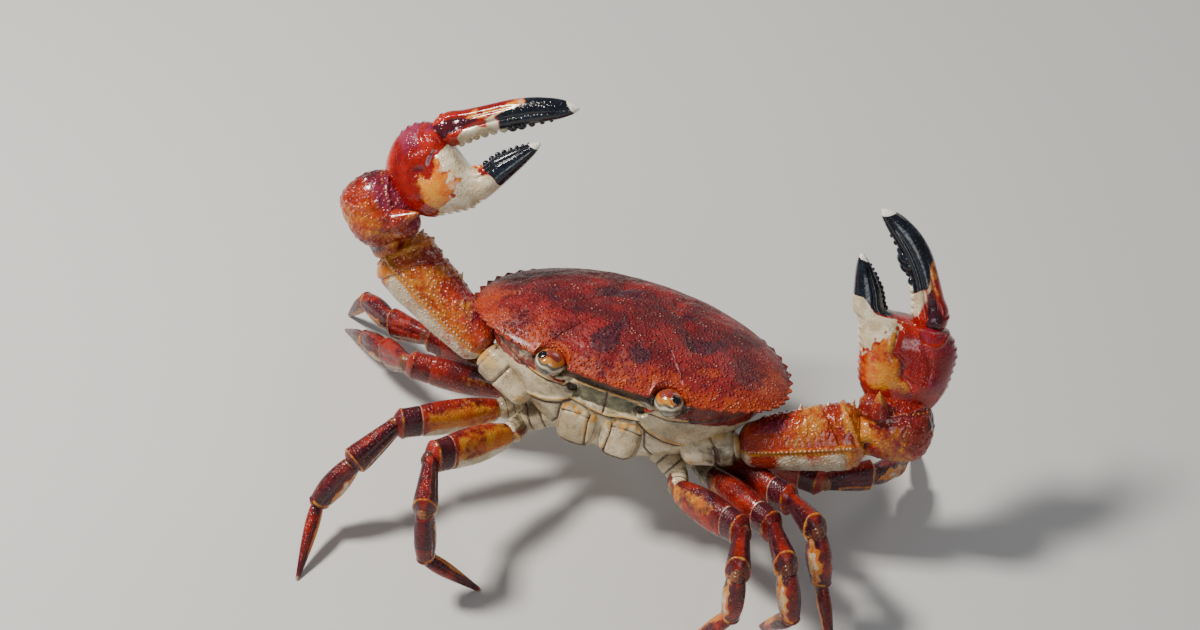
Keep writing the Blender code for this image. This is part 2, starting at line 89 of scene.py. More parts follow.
def flowing(at, knots, values):
    """A smooth curve through values at knots: cubic Hermite pieces with slopes from the neighbours."""
    knots, values, at = np.asarray(knots, float), np.asarray(values, float), np.asarray(at, float)
    slopes = np.gradient(values, knots, axis=0)
    piece = np.clip(np.searchsorted(knots, at, side="right") - 1, 0, len(knots) - 2)
    gap = knots[piece + 1] - knots[piece]
    s = np.clip((at - knots[piece]) / gap, 0.0, 1.0)
    if values.ndim > 1:
        gap, s = gap[..., None], s[..., None]
    ends = (2 * s**3 - 3 * s**2 + 1) * values[piece] + (3 * s**2 - 2 * s**3) * values[piece + 1]
    bends = (s**3 - 2 * s**2 + s) * slopes[piece] + (s**3 - s**2) * slopes[piece + 1]
    return ends + gap * bends


def rise(at, low, high):
    """0 below low, 1 above high, and a smooth S between."""
    s = np.clip((np.asarray(at, float) - low) / (high - low), 0.0, 1.0)
    return s * s * (3 - 2 * s)


def bell(at, middle, width):
    """1 at middle, falling off smoothly on both sides within about the width."""
    return np.exp(-(((np.asarray(at, float) - middle) / width) ** 2))


def waves(points, size, seed=0):
    """A soft, uneven pattern from -1 to 1: a few slow sine waves of about that size, in mixed directions."""
    mix = np.random.default_rng(seed)
    total = np.zeros(points.shape[:-1])
    for _ in range(6):
        total += np.sin(points @ (unit(mix.normal(size=3)) * 2 * np.pi / size) + mix.uniform(0, 6.28))
    return total / 3.0


def along_line(points, path):
    """Each point's distance to the nearest stretch of a line through the path's points."""
    path = np.asarray(path, float)
    best = np.full(points.shape[:-1], np.inf)
    for start, run in zip(path[:-1], np.diff(path, axis=0)):
        on = np.clip(((points - start) @ run) / (run @ run), 0, 1)
        best = np.minimum(best, np.linalg.norm(points - start - on[..., None] * run, axis=-1))
    return best


# %% Rings and balls
def oblong(turn, half_side, half_up, power):
    """Points round a rounded oblong: |x/a|^p + |y/b|^p = 1, an ellipse at p = 2 and squarer above."""
    across = np.sign(np.cos(turn)) * np.abs(np.cos(turn)) ** (2 / power) * half_side
    upward = np.sign(np.sin(turn)) * np.abs(np.sin(turn)) ** (2 / power) * half_up
    return across, upward


def sphere(rows, turns, margin, shift=0.0):
    """Unit points in rows round the z axis. The first and last rows are the margin, an angle, from a pole."""
    fall = np.linspace(margin, np.pi - margin, rows)[:, None]
    turn = around(turns) + shift
    return np.stack(np.broadcast_arrays(
        np.sin(fall) * np.cos(turn), np.sin(fall) * np.sin(turn), np.cos(fall) + 0 * turn), -1)


def superball(rows, turns, power):
    """A boxy ball and the sphere it comes from: the sphere's points over (|x|^p + |y|^p + |z|^p)^(1/p)."""
    ball = sphere(rows, turns, 0.03)
    return ball / (np.abs(ball) ** power).sum(-1, keepdims=True) ** (1 / power), ball


# %% Forms
def form_of(grid, **fields):
    """A closed form from a grid (rows, turns, 3): quads between the rows, and a fan to a pole at each end."""
    rows, turns = grid.shape[:2]
    row, step = np.meshgrid(np.arange(rows - 1), np.arange(turns), indexing="ij")
    low, after = row * turns + step, row * turns + (step + 1) % turns
    quads = np.stack([low, after, after + turns, low + turns], -1).reshape(-1, 4)
    step, after = np.arange(turns), (np.arange(turns) + 1) % turns
    base, first = (rows - 1) * turns, rows * turns
    start_fan = np.stack([np.full(turns, first), after, step], 1)
    end_fan = np.stack([np.full(turns, first + 1), base + step, base + after], 1)
    points = np.concatenate([grid.reshape(-1, 3), grid[:1].mean(1), grid[-1:].mean(1)])
    corners = points[np.concatenate([quads[:, :3], quads[:, [0, 2, 3]], start_fan, end_fan])]
    volume = np.einsum("ij,ij->i", corners[:, 0], np.cross(corners[:, 1], corners[:, 2])).sum()
    tris = np.concatenate([start_fan, end_fan])
    if volume < 0:
        quads, tris = quads[:, ::-1], tris[:, ::-1]
    painted = {}
    for name, values in fields.items():
        values = np.broadcast_to(values, (rows, turns)).astype(float)
        painted[name] = np.concatenate([values.reshape(-1), [values[0].mean(), values[-1].mean()]])
    return {"points": points, "quads": quads, "tris": tris, "fields": painted}


def joined(forms):
    """One form from several: faces are renumbered, and a field that a form lacks is 0 there."""
    names = sorted(set().union(*(form["fields"] for form in forms)))
    starts = np.cumsum([0] + [len(form["points"]) for form in forms])
    return {
        "points": np.concatenate([form["points"] for form in forms]),
        "quads": np.concatenate([form["quads"] + start for form, start in zip(forms, starts)]),
        "tris": np.concatenate([form["tris"] + start for form, start in zip(forms, starts)]),
        "fields": {name: np.concatenate(
            [form["fields"].get(name, np.zeros(len(form["points"]))) for form in forms]) for name in names},
    }


def pushed(grid, out_way, amount):
    """The grid moved along the way out by an amount that is its own at each point."""
    return grid + out_way * amount[..., None]


def bead_forms(places, radii, rows=6, turns=8, **fields):
    """Many small round beads at once."""
    ball = sphere(rows, turns, np.pi / (2 * rows))
    return [form_of(place + ball * radius, **fields) for place, radius in zip(places, radii)]


def thorn(foot, point, radius, **fields):
    """A thorn: rings that shrink from radius to nothing. A field is its (foot, point) pair of values."""
    rings, turns = 14, 14
    t = np.linspace(0, 1, rings)[:, None, None]
    side_axis = unit(np.cross(unit(point - foot), (0.3, 0.2, 0.9)))
    up_axis = np.cross(side_axis, unit(point - foot))
    ring_turn = around(turns)[None, :, None]
    thick = radius * (1 - t) ** 0.8 * (1 - 0.15 * t) + radius * 0.03
    grid = foot + (point - foot) * t + thick * (np.cos(ring_turn) * side_axis + np.sin(ring_turn) * up_axis)
    return form_of(grid, **{name: low + (high - low) * t[..., 0] for name, (low, high) in fields.items()})


def linked(name, data):
    """A new object that is in the scene."""
    item = bpy.data.objects.new(name, data)
    bpy.context.scene.collection.objects.link(item)
    return item


def placed(name, form, material, slot, *nodes):
    """The form as a smooth Blender mesh that rides on the crab's body and stands for the nodes."""
    mesh = bpy.data.meshes.new(name)
    quads, tris = form["quads"], form["tris"]
    mesh.vertices.add(len(form["points"]))
    mesh.vertices.foreach_set("co", form["points"].astype(np.float32).ravel())
    mesh.loops.add(quads.size + tris.size)
    mesh.loops.foreach_set("vertex_index", np.concatenate([quads.ravel(), tris.ravel()]).astype(np.int32))
    sizes = np.concatenate([np.full(len(quads), 4), np.full(len(tris), 3)])
    mesh.polygons.add(len(sizes))
    mesh.polygons.foreach_set("loop_start", np.concatenate([[0], np.cumsum(sizes)[:-1]]).astype(np.int32))
    mesh.polygons.foreach_set("loop_total", sizes.astype(np.int32))
    mesh.update(calc_edges=True)
    for field, values in form["fields"].items():
        layer = mesh.attributes.new(field, "FLOAT", "POINT")
        layer.data.foreach_set("value", values.astype(np.float32))
    mesh.validate()
    mesh.shade_smooth()
    mesh.materials.append(material)
    piece = linked(name, mesh)
    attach(piece, "root")
    if nodes:
        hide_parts(*nodes)
    print(name, len(quads) * 2 + len(tris), "triangles")


# %% [markdown]
# ## Finishes
# A crab's shell is chitin and lime: a hard, slightly glossy skin, grained with tiny bumps, whose colour lies
# in clouds and patches. One helper builds every shell finish from noise on object coordinates. Fields painted
# on the grids say where a patch such as cream, gold or black belongs, and fine noise breaks up its edge.


# %% Shell finish helper
EDGE_SCALE, TONE_SCALE, GLOSS_SCALE = 420.0, 190.0, 240.0
# The pale colour of the painted glints on the granules.
PAINTED_GLINT = (0.74, 0.36, 0.26)


def shell_finish(name, deep, bright, layers=(), cloud=55.0, gloss=(0.22, 0.42), grain=1500.0, bump=0.25,
                 relief=0.0004, painted_grain_light=0.0, coat=0.25):
    """Deep and bright shades mixed by two sizes of cloud, painted layers, a granular bump with painted shade
    between its granules and painted glints on them, painted shade where the fine relief sits low, and uneven
    gloss.

    A layer is a field's name, two shades and how ragged its edge is. cloud and grain are scales per metre.
    """
    made = bpy.data.materials.new(name)
    made.use_nodes = True
    tree = made.node_tree
    shader = tree.nodes["Principled BSDF"]
    link = tree.links.new

    def node(kind, **settings):
        item = tree.nodes.new("ShaderNode" + kind)
        for key, value in settings.items():
            setattr(item, key, value)
        return item

    def feed(item, **values):
        """Each named socket of the node takes a link, a number or a shade."""
        for key, value in values.items():
            socket = item.inputs[int(key[1:]) if key[1:].isdigit() else key.replace("_", " ")]
            if isinstance(value, bpy.types.NodeSocket):
                link(value, socket)
            else:
                socket.default_value = (*value, 1.0) if isinstance(value, tuple) else value

    def noise(scale, detail=4.0, rough=0.55, shift=0.0):
        place = node("Mapping")
        place.inputs["Location"].default_value = (shift, shift * 0.7, 0.0)
        feed(place, Vector=coordinates)
        item = node("TexNoise")
        feed(item, Scale=scale, Detail=detail, Roughness=rough, Vector=place.outputs["Vector"])
        return item.outputs["Fac"]

    def spread(value, low, high, to_low=0.0, to_high=1.0):
        item = node("MapRange", interpolation_type="SMOOTHSTEP")
        feed(item, From_Min=low, From_Max=high, To_Min=to_low, To_Max=to_high, Value=value)
        return item.outputs["Result"]

    def mixed(share, below, above):
        item = node("Mix", data_type="RGBA")
        feed(item, Factor=share, A=below, B=above)
        return item.outputs["Result"]

    def combine(operation, first, second):
        item = node("Math", operation=operation)
        feed(item, _0=first, _1=second)
        return item.outputs["Value"]

    coordinates = node("TexCoord", name="Object Place").outputs["Object"]
    colour = mixed(spread(noise(cloud), 0.36, 0.66), deep, bright)
    fine = noise(grain * 0.30, 3.0, 0.6, 3.1)
    darker = tuple(0.55 * part for part in deep)
    # Painted shade: the colour turns darker where the fine noise, which also raises the bump, sits low.
    colour = mixed(spread(fine, 0.30, 0.52, 0.55, 0.0), colour, darker)
    broken = noise(EDGE_SCALE, 5.0, 0.65, 7.7)
    for field, shade, shade_two, rag in layers:
        mark = node("Attribute", attribute_name=field)
        ragged = combine("MULTIPLY", combine("SUBTRACT", broken, 0.5), rag)
        share = spread(combine("ADD", mark.outputs["Fac"], ragged), 0.30, 0.70)
        tone = mixed(spread(noise(TONE_SCALE, 4.0, 0.6, 11.3), 0.38, 0.64), shade, shade_two)
        colour = mixed(share, colour, tone)
    cells = node("TexVoronoi", feature="F1")
    feed(cells, Scale=grain, Vector=coordinates)
    knob = spread(cells.outputs["Distance"], 0.05, 0.55, 1.0, 0.0)
    # Painted light on the grain: shade between the granules, and sparse pale glints on their tops.
    if painted_grain_light:
        shaded = mixed(0.55, colour, darker)
        colour = mixed(spread(knob, 0.15, 0.65, painted_grain_light * 0.75, 0.0), colour, shaded)
        rare = spread(noise(grain * 0.30, 2.0, 0.5, 5.3), 0.54, 0.66)
        painted_glint_share = combine("MULTIPLY", spread(knob, 0.45, 0.85), combine("MULTIPLY", rare, painted_grain_light))
        colour = mixed(painted_glint_share, colour, PAINTED_GLINT)
    feed(shader, Base_Color=colour, Roughness=spread(noise(GLOSS_SCALE, 4.0, 0.6, 2.2), 0.3, 0.7, *gloss))
    raised = node("Bump")
    feed(raised, Strength=bump, Distance=relief, Height=combine("ADD", knob, combine("MULTIPLY", fine, 0.8)))
    feed(shader, Normal=raised.outputs["Normal"], Specular_IOR_Level=0.35, Coat_Weight=coat,
         Coat_Roughness=0.12)
    return made


# %% The finishes
CREAM = (0.54, 0.42, 0.25)
PATCHES = (("violet", (0.17, 0.012, 0.040), (0.30, 0.030, 0.065), 0.8),
           ("dark", (0.040, 0.005, 0.012), (0.085, 0.008, 0.014), 0.9),
           ("gold", (0.64, 0.25, 0.020), (0.58, 0.13, 0.008), 1.1),
           ("pale", CREAM, (0.74, 0.64, 0.46), 0.7),
           ("black", (0.004, 0.005, 0.009), (0.008, 0.012, 0.022), 0.3),
           ("tip", (0.80, 0.74, 0.62), (0.86, 0.82, 0.74), 0.3))
SHELL = shell_finish("back shell", (0.115, 0.006, 0.010), (0.38, 0.020, 0.018),
                     (("violet", (0.040, 0.008, 0.020), (0.085, 0.012, 0.022), 1.5),
                      ("orange", (0.56, 0.075, 0.008), (0.44, 0.032, 0.006), 1.5),
                      ("pale", (0.50, 0.24, 0.15), CREAM, 0.9)),
                     cloud=70.0, gloss=(0.34, 0.54), grain=820.0, bump=1.0, relief=0.0007, painted_grain_light=1.0,
                     coat=0.08)
CLAW = shell_finish("claw shell", (0.20, 0.003, 0.004), (0.44, 0.016, 0.005), PATCHES,
                    gloss=(0.08, 0.24), grain=1000.0, bump=0.36, coat=0.5)
ARM = shell_finish("arm shell", (0.22, 0.008, 0.006), (0.50, 0.045, 0.006), PATCHES,
                   gloss=(0.12, 0.32), grain=820.0, bump=0.7, painted_grain_light=0.8, coat=0.4)
LEG = shell_finish("leg shell", (0.115, 0.004, 0.006), (0.34, 0.018, 0.006), PATCHES, cloud=120.0,
                   gloss=(0.20, 0.40), grain=1000.0, bump=0.5, painted_grain_light=0.35, coat=0.15)
UNDER = shell_finish("cream underside", (0.36, 0.27, 0.15), (0.70, 0.58, 0.38),
                     (("red", (0.13, 0.012, 0.010), (0.26, 0.05, 0.03), 1.7),
                      ("olive", (0.06, 0.055, 0.028), (0.18, 0.16, 0.085), 1.0),
                      ("gold", (0.55, 0.26, 0.05), (0.62, 0.42, 0.17), 0.9),
                      ("line", (0.060, 0.030, 0.016), (0.13, 0.07, 0.035), 0.5)),
                     gloss=(0.16, 0.38), grain=1300.0, bump=0.4, coat=0.3)
EYE = shell_finish("eye", (0.10, 0.085, 0.055), (0.26, 0.23, 0.16),
                   (("pale", (0.50, 0.40, 0.26), (0.66, 0.56, 0.40), 0.5),
                    ("amber", (0.42, 0.10, 0.010), (0.60, 0.24, 0.03), 0.8),
                    ("red", (0.16, 0.018, 0.012), (0.30, 0.05, 0.03), 0.8),
                    ("line", (0.04, 0.018, 0.012), (0.08, 0.04, 0.025), 0.4),
                    ("black", (0.003, 0.003, 0.004), (0.006, 0.005, 0.006), 0.1)),
                   cloud=260.0, gloss=(0.04, 0.14), grain=3000.0, bump=0.10, coat=0.9)
MEMBRANE = shell_finish("joint skin", (0.08, 0.018, 0.012), (0.24, 0.085, 0.03),
                        (("line", (0.07, 0.03, 0.012), (0.16, 0.07, 0.03), 0.5),),
                        gloss=(0.22, 0.42), grain=900.0, bump=0.4, coat=0.2)
print("finishes made:", ", ".join(sorted(material.name for material in bpy.data.materials)))

# %% [markdown]
# ## The back
# The back is one shallow dome with a thin, toothed edge. Each point lies on a line from the middle to the
# edge, and its height falls from the dome to the edge. A notch on each side of the front takes an eye. Soft
# swellings and grooves mark the organs underneath, and the colour lies in clouds with dark violet patches.

# %% The edge of the back
WIDEST_Y, FRONT_Y, BACK_Y, DOME, FULL = -0.04, -0.291, 0.328, 0.105, 0.96
MIDDLE_Y = 0.5 * (FRONT_Y + BACK_Y)
FIRST_TOOTH, TOOTH_STEP, TOOTH_LENGTH, HOOK = 30.0, 6.7, 0.0150, 0.74
EYE_AT = np.array((0.190, -0.268, -0.014))
EYE_HALF = np.array((0.0470, 0.040, 0.041))
BAY_HALF, BAY_DEPTH = 0.056, 0.040
EDGE_STEPS = 640


def edge_of_back(turn):
    """x and y of the smooth edge, turned from the middle of the front; a little squarer than an oval."""
    across, along = np.sin(turn), np.cos(turn)
    reach = np.where(along > 0, WIDEST_Y - FRONT_Y, BACK_Y - WIDEST_Y)
    x = 0.5 * np.sign(across) * np.abs(across) ** FULL
    y = WIDEST_Y - reach * np.sign(along) * np.abs(along) ** FULL
    return x, y


def teeth(turn):
    """How far the edge stands out: broad hooked teeth along the sides, fine ones in front and behind."""
    degrees = np.degrees(np.abs((turn + np.pi) % (2 * np.pi) - np.pi))
    on_side = rise(degrees, 27, 33) * (1 - rise(degrees, 132, 142))
    phase = (degrees - FIRST_TOOTH) / TOOTH_STEP % 1.0
    hook = np.where(phase < HOOK, (phase / HOOK) ** 1.3, ((1 - phase) / (1 - HOOK)) ** 0.8)
    fine = np.abs(np.sin(np.radians(degrees) * 34)) ** 1.5
    length = TOOTH_LENGTH * (0.65 + 0.35 * rise(degrees, 30, 75) - 0.25 * rise(degrees, 105, 135))
    return on_side * hook * length + (1 - on_side) * 0.0035 * fine


def notched(x, y):
    """The front edge cut back round each eye, as a round bay."""
    bay = np.clip(1.0 - ((np.abs(x) - EYE_AT[0]) / BAY_HALF) ** 2, 0.0, 1.0) ** 0.6
    return np.where((y < -0.1) & (bay > 0), np.maximum(y, EYE_AT[1] - 0.006 + BAY_DEPTH * bay), y)


turn = around(EDGE_STEPS)
smooth_x, smooth_y = edge_of_back(turn)
grown = 1.0 + teeth(turn) / np.hypot(smooth_x, smooth_y - MIDDLE_Y)
edge_x, edge_y = smooth_x * grown, MIDDLE_Y + (smooth_y - MIDDLE_Y) * grown
bayed_y = notched(edge_x, edge_y)
print("edge of the back:", EDGE_STEPS, "steps, widest", np.ptp(edge_x) * W * 1000, "mm")

# %% The dome of the back
DOME_ROWS = 91
RIM_SHARES, RIM_DEPTHS = (1.0, 0.988, 0.955, 0.90), (0.0055, 0.0115, 0.0150, 0.0185)
# Each lobe's height, its middle, and its radius across and along. The other side has its mirror image.
SWELLINGS = ((0.010, 0.085, -0.130, 0.075, 0.085), (0.008, 0.0, -0.02, 0.070, 0.100),
             (0.009, 0.0, 0.165, 0.085, 0.075), (0.008, 0.250, 0.060, 0.110, 0.120),
             (0.006, 0.300, -0.120, 0.090, 0.055), (0.004, 0.160, 0.200, 0.050, 0.050))
VIOLETS = ((1.10, 0.062, -0.192, 0.040, 0.036), (0.70, 0.030, -0.130, 0.040, 0.040),
           (0.85, 0.205, -0.080, 0.060, 0.040), (0.66, 0.290, -0.020, 0.10, 0.055),
           (0.62, 0.110, 0.045, 0.09, 0.040), (0.45, 0.0, 0.085, 0.12, 0.05), (0.30, 0.20, 0.17, 0.12, 0.07))
ORANGES = ((0.32, 0.16, -0.235, 0.16, 0.05), (0.3, 0.25, -0.15, 0.08, 0.06))
# Each groove's depth and width, and the points that it passes through.
GROOVES = (
    (0.0085, 0.018, ((0.33, -0.175), (0.215, -0.120), (0.165, -0.030), (0.105, 0.050), (0.085, 0.110))),
    (0.0065, 0.014, ((0.085, 0.110), (0.110, 0.170), (0.090, 0.240))),
    (0.0035, 0.012, ((0.0, -0.30), (0.0, -0.130), (0.030, -0.060), (0.045, 0.0))))
share = np.append(1.0 - (1.0 - np.linspace(0.0, 1.0, DOME_ROWS + 1)[1:]) ** 1.35, RIM_SHARES)[:, None]
under = np.append(np.zeros(DOME_ROWS), RIM_DEPTHS)[:, None]
above = under == 0
x = edge_x * share
y = MIDDLE_Y + (bayed_y - MIDDLE_Y) * share
ax = np.abs(x)
reach = np.clip(np.hypot(x, y - MIDDLE_Y) / np.hypot(smooth_x, smooth_y - MIDDLE_Y), 0.0, 1.0)
top = DOME * (1.0 - reach**2.4) ** 0.85
body_points = np.stack([x, y, top], -1)


def lobes(table):
    """The sum of soft round swellings, each falling off by the square of the distance over its radius."""
    return sum(height * np.exp(-(((ax - cx) / rx) ** 2 + ((y - cy) / ry) ** 2))
               for height, cx, cy, rx, ry in table)


neck, heart, centre = (
    depth * bell(along_line(np.stack([ax, y], -1), path), 0, width) for depth, width, path in GROOVES)
groove = neck * rise(y, -0.165, -0.09) + heart + centre
rough = 0.0012 * waves(body_points, 0.055, 3) + 0.0008 * waves(body_points, 0.021, 4)
in_bay = rise(bayed_y - edge_y, 0.0005, 0.006)
brow = 0.010 * in_bay * bell(share, 1.0, 0.045) * above
z = np.where(above, top + (lobes(SWELLINGS) - groove + rough) * (1.0 - reach**6) + brow, -under)
violet = np.clip(lobes(VIOLETS), 0, 0.85) * (0.85 + 0.45 * waves(body_points, 0.11, 9))
orange = 0.50 * rise(reach, 0.74, 1.0) * rise(-y, -0.05, 0.12) + lobes(ORANGES)
orange += 0.55 * rise(ax, 0.34, 0.47) * rise(0.12 - y, 0, 0.12) + 0.22 * waves(body_points, 0.09, 14)
lip = 0.08 * bell(share, 0.985, 0.018) * above * rise(teeth(turn), 0.0012, 0.006)
# Pale streaks over the rear of the back are a painted wet sheen, a painted highlight.
sheen_streaks = rise(waves(body_points * (1, 2.6, 1), 0.075, 12), 0.35, 0.8) * rise(y, 0.12, 0.2)
pale = np.where(under > 0.006, 0.15, lip + 0.36 * sheen_streaks * rise(0.92 - reach, 0, 0.15))
back = form_of(on_body(np.stack([x, y, z], -1)), violet=violet, orange=orange, pale=pale)
placed("back_shell", back, SHELL, "shell", "carapace")

# %% [markdown]
# ## The body under the rim
# Below the rim the shell turns in as cream plates that meet in curved seams, down to the breastplate between
# the legs. It is a stack of level outlines, each a rounded oblong, with seams pressed in as grooves and their
# golden edges raised. Two sockets hold the inner feelers, and the plates above the mouth are sunk and olive.

# %% The cream body
# Each level's height, half width, front and rear.
LEVELS = np.array((
    (-.016, .462, -.262, .292), (-.0235, .455, -.264, .290), (-.080, .440, -.266, .290),
    (-.150, .395, -.256, .275), (-.220, .335, -.238, .245), (-.280, .275, -.205, .205),
    (-.325, .200, -.150, .150), (-.340, .110, -.090, .090), (-.343, .020, -.015, .015)))
BODY_ROWS, BODY_STEPS = 190, 480
# Seams and crests run in the plane of the face: |x| and z.
SEAMS = (
    ((0.105, -0.126), (0.142, -0.158), (0.190, -0.185), (0.235, -0.203), (0.300, -0.205), (0.380, -0.150)),
    ((0.118, -0.132), (0.134, -0.150), (0.139, -0.185), (0.143, -0.229), (0.168, -0.275)),
    ((0.0, -0.052), (0.0, -0.126)),
    ((0.0, -0.139), (0.030, -0.139), (0.070, -0.128), (0.112, -0.123)),
    ((0.135, -0.080), (0.188, -0.089), (0.245, -0.086), (0.320, -0.070), (0.410, -0.040)))
CRESTS = (
    ((0.0, -0.131), (0.020, -0.130), (0.068, -0.119), (0.110, -0.114)),
    ((0.120, -0.128), (0.160, -0.152), (0.200, -0.172), (0.250, -0.188)),
    ((0.0, -0.050), (0.050, -0.047), (0.100, -0.050)),
    ((0.130, -0.074), (0.150, -0.082), (0.195, -0.081), (0.250, -0.077)))
SEAM_WIDTH, CREST_WIDTH = 0.0045, 0.0060
SOCKET_AT, SOCKET_RADIUS = np.array((0.112, -0.079)), 0.019


def near_paths(points, paths, width):
    """1 on any of the paths, falling off within the width."""
    return bell(np.min([along_line(points, path) for path in paths], axis=0), 0, width)


level = flowing(np.linspace(0.0, len(LEVELS) - 1.0, BODY_ROWS), np.arange(len(LEVELS)), LEVELS)
across, along = np.sin(around(BODY_STEPS)), np.cos(around(BODY_STEPS))
x = level[:, 1:2] * np.sign(across) * np.abs(across) ** 0.92
y = np.where(along > 0, level[:, 2:3], level[:, 3:4]) * np.abs(along) ** 0.85
z = np.broadcast_to(level[:, 0:1], x.shape)
face = np.stack([np.abs(x), z], -1)
forward = rise(-y, 0.03, 0.12)
dip = near_paths(face, SEAMS, SEAM_WIDTH) * forward
ridge = near_paths(face, CRESTS, CREST_WIDTH) * forward
from_socket = np.linalg.norm(face - SOCKET_AT, axis=-1)
hole = rise(SOCKET_RADIUS - from_socket, -0.003, 0.006) * forward
collar = bell(from_socket, SOCKET_RADIUS + 0.004, 0.005) * forward
from_eye = np.hypot((face[..., 0] - EYE_AT[0]) / 1.15, face[..., 1] - EYE_AT[2])
shelf = bell(from_eye, 0.054, 0.007) * rise(-0.022 - z, 0, 0.02) * forward
above_mouth = (rise(0.108 - np.abs(x), 0, 0.008) * rise(-0.050 - z, 0, 0.006)
               * rise(z + 0.114, 0, 0.006) * forward)
plump = bell(along_line(face, ((0.20, -0.13), (0.36, -0.10))), 0, 0.045) * forward
push = 0.0065 * (ridge - dip) - 0.016 * hole + 0.007 * collar + 0.008 * (shelf + plump) - 0.006 * above_mouth
push += 0.0012 * waves(np.stack([x, y, z], -1), 0.06, 2)
outward = unit(np.stack([x, y * 1.6, np.zeros(x.shape)], -1))
grid = pushed(np.stack([x, y, z], -1), outward, push)
below_rim = rise(-0.018 - z, 0, 0.01) * rise(z + 0.096, 0, 0.02) * rise(np.abs(x), 0.19, 0.24)
# Red under the rim: the shell's own red on the side walls, with painted shade added on the crab's left, away
# from the main lamp, and in the band just under the rim, which is the rim's red edge in shade.
red = below_rim * (0.66 + 0.34 * bell(z, -0.078, 0.016) + 0.25 * waves(grid, 0.05, 5)
                   + 0.35 * rise(x, 0.2, 0.35))
red += 0.6 * bell(z, -0.016, 0.012) + 0.2 * collar
olive = 0.80 * above_mouth * (0.85 + 0.3 * waves(grid, 0.04, 6)) + 0.35 * shelf
# Painted shade: the dark line colour also fills the strip under the front rim, a ring round each eye's socket
# and the feeler sockets; on the seams it is their dark joints.
brow_shade = rise(z, -0.052, -0.040) * rise(0.150 - np.abs(x), 0, 0.02) * forward
eye_socket_shade = rise(0.070 - from_eye, 0, 0.016) * forward * (0.8 + 0.4 * waves(grid, 0.03, 8))
line = np.clip(0.90 * dip + 0.95 * hole + 0.75 * brow_shade + 0.70 * eye_socket_shade, 0, 1)
body = form_of(on_body(grid), red=red, olive=olive, gold=0.80 * ridge + 0.3 * collar, line=line)
placed("body_underside", body, UNDER, "cream", "underbody")

# %% [markdown]
# ## Eyes
# Each eye is a short, stout stalk lying in its bay, with the dark, glossy cornea as a small dome at the
# upper, outer end. One stretched ball carries both: the cornea is raised and painted black, the top is amber
# with a red cap, and a cream band and a thin dark line run round below.

# %% Eyes
EYE_YAW, EYE_DIP = math.radians(-25.0), math.radians(-12.0)
EYE_ROWS, EYE_STEPS = 72, 96
ball = sphere(EYE_ROWS, EYE_STEPS, 0.02, shift=np.pi / EYE_STEPS)[..., [2, 0, 1]]
near = np.arccos(np.clip(ball @ unit((0.74, -0.20, 0.60)), -1, 1))
black = rise(0.35 - near, -0.03, 0.04)
swollen = 1.0 + 0.06 * rise(0.41 - near, 0, 0.14) - 0.03 * bell(near, 0.45, 0.07)
high = ball @ unit((0.05, -0.30, 0.95)) + 0.08 * waves(ball, 0.8, 4)
red = 0.9 * rise(high, 0.80, 0.95) + 0.7 * bell(near, 0.46, 0.06)
# The thin dark line runs round below the middle; the eye's underside, down in its bay, is painted dark as
# shade.
line = 0.9 * bell(high, -0.08, 0.045) + 0.8 * rise(-high, 0.55, 0.75)
eye_paint = {"black": black, "amber": rise(high, 0.42, 0.60) * (1 - black), "red": red * (1 - black),
             "pale": 0.8 * bell(high, 0.22, 0.16), "line": line * (1 - black)}
turned = np.array(Matrix.Rotation(EYE_YAW, 3, "Z") @ Matrix.Rotation(EYE_DIP, 3, "Y"))
shape = (ball * swollen[..., None] * EYE_HALF) @ turned.T + EYE_AT
for label, side in SIDES.items():
    eye = form_of(on_body(shape * (side, 1, 1)), **eye_paint)
    placed(f"eye_{label}_stalk", eye, EYE, "eye", f"eye_{label}")

# %% [markdown]
# ## Mouth doors and feelers
# Two flat plates close the mouth like doors, with knobbly golden upper ends and a dark gap between. The
# feelers are short tapering rods at the inner corner of each eye's bay.

# %% Mouth doors
DOOR_AT, DOOR_NOD, DOOR_HALF_W, DOOR_HALF_H = (0.069, -0.244, -0.200), math.radians(-13.0), 0.063, 0.072
# Each ring's depth and share of the full size, from a door's rear wall to the middle of its face.
DOOR_RINGS = ((0.030, 1.0), (0.002, 1.0), (-0.010, 0.965), (-0.019, 0.86), (-0.026, 0.55), (-0.028, 0.02))
depth, size = flowing(np.linspace(0, 5, 40), np.arange(6), DOOR_RINGS).T[..., None]
across, upward = oblong(around(96), 1.0, 1.0, 3.2)
x, z = DOOR_HALF_W * size * across, DOOR_HALF_H * size * upward
flat = np.stack([size * across, size * upward], -1)
seam_gap = along_line(flat, ((-0.55, 1.0), (-0.50, 0.2), (-0.62, -1.0)))
cross_gap = along_line(flat, ((-0.5, 0.42), (0.2, 0.50), (1.0, 0.38)))
lines = np.clip(bell(seam_gap, 0, 0.045) + 0.8 * bell(cross_gap, 0, 0.040), 0, 1)
knobs = rise(size * upward + 0.15 * np.sin(x * 120 + 1), 0.30, 0.75)
y = depth + 0.006 * (lines - knobs * (0.6 + 0.5 * np.sin(x * 220))) * (size < 0.99)
swing = np.array(Matrix.Rotation(DOOR_NOD, 3, "X"))
door = np.stack([x, y, z], -1) @ swing.T + DOOR_AT
# Painted shade: border darkens a ring just inside each plate's edge, where it sits into the body, and the
# plate's lower part.
border = bell(size, 0.88, 0.08) * (1 - knobs) + 0.5 * rise(-size * upward, 0.55, 0.95)
for label, side in SIDES.items():
    plate = door * (side, 1, 1)
    swirl = waves(plate, 0.035, 12)
    form = form_of(on_body(plate), line=np.clip(0.95 * lines + 0.5 * border, 0, 1),
                   olive=0.20 * rise(-swirl, 0.1, 0.7),
                   gold=0.85 * knobs + 0.5 * bell(seam_gap, 0.11, 0.05) + 0.25 * rise(swirl, 0, 0.6))
    placed(f"mouth_door_{label}", form, UNDER, "cream", f"maxilliped_{label}")

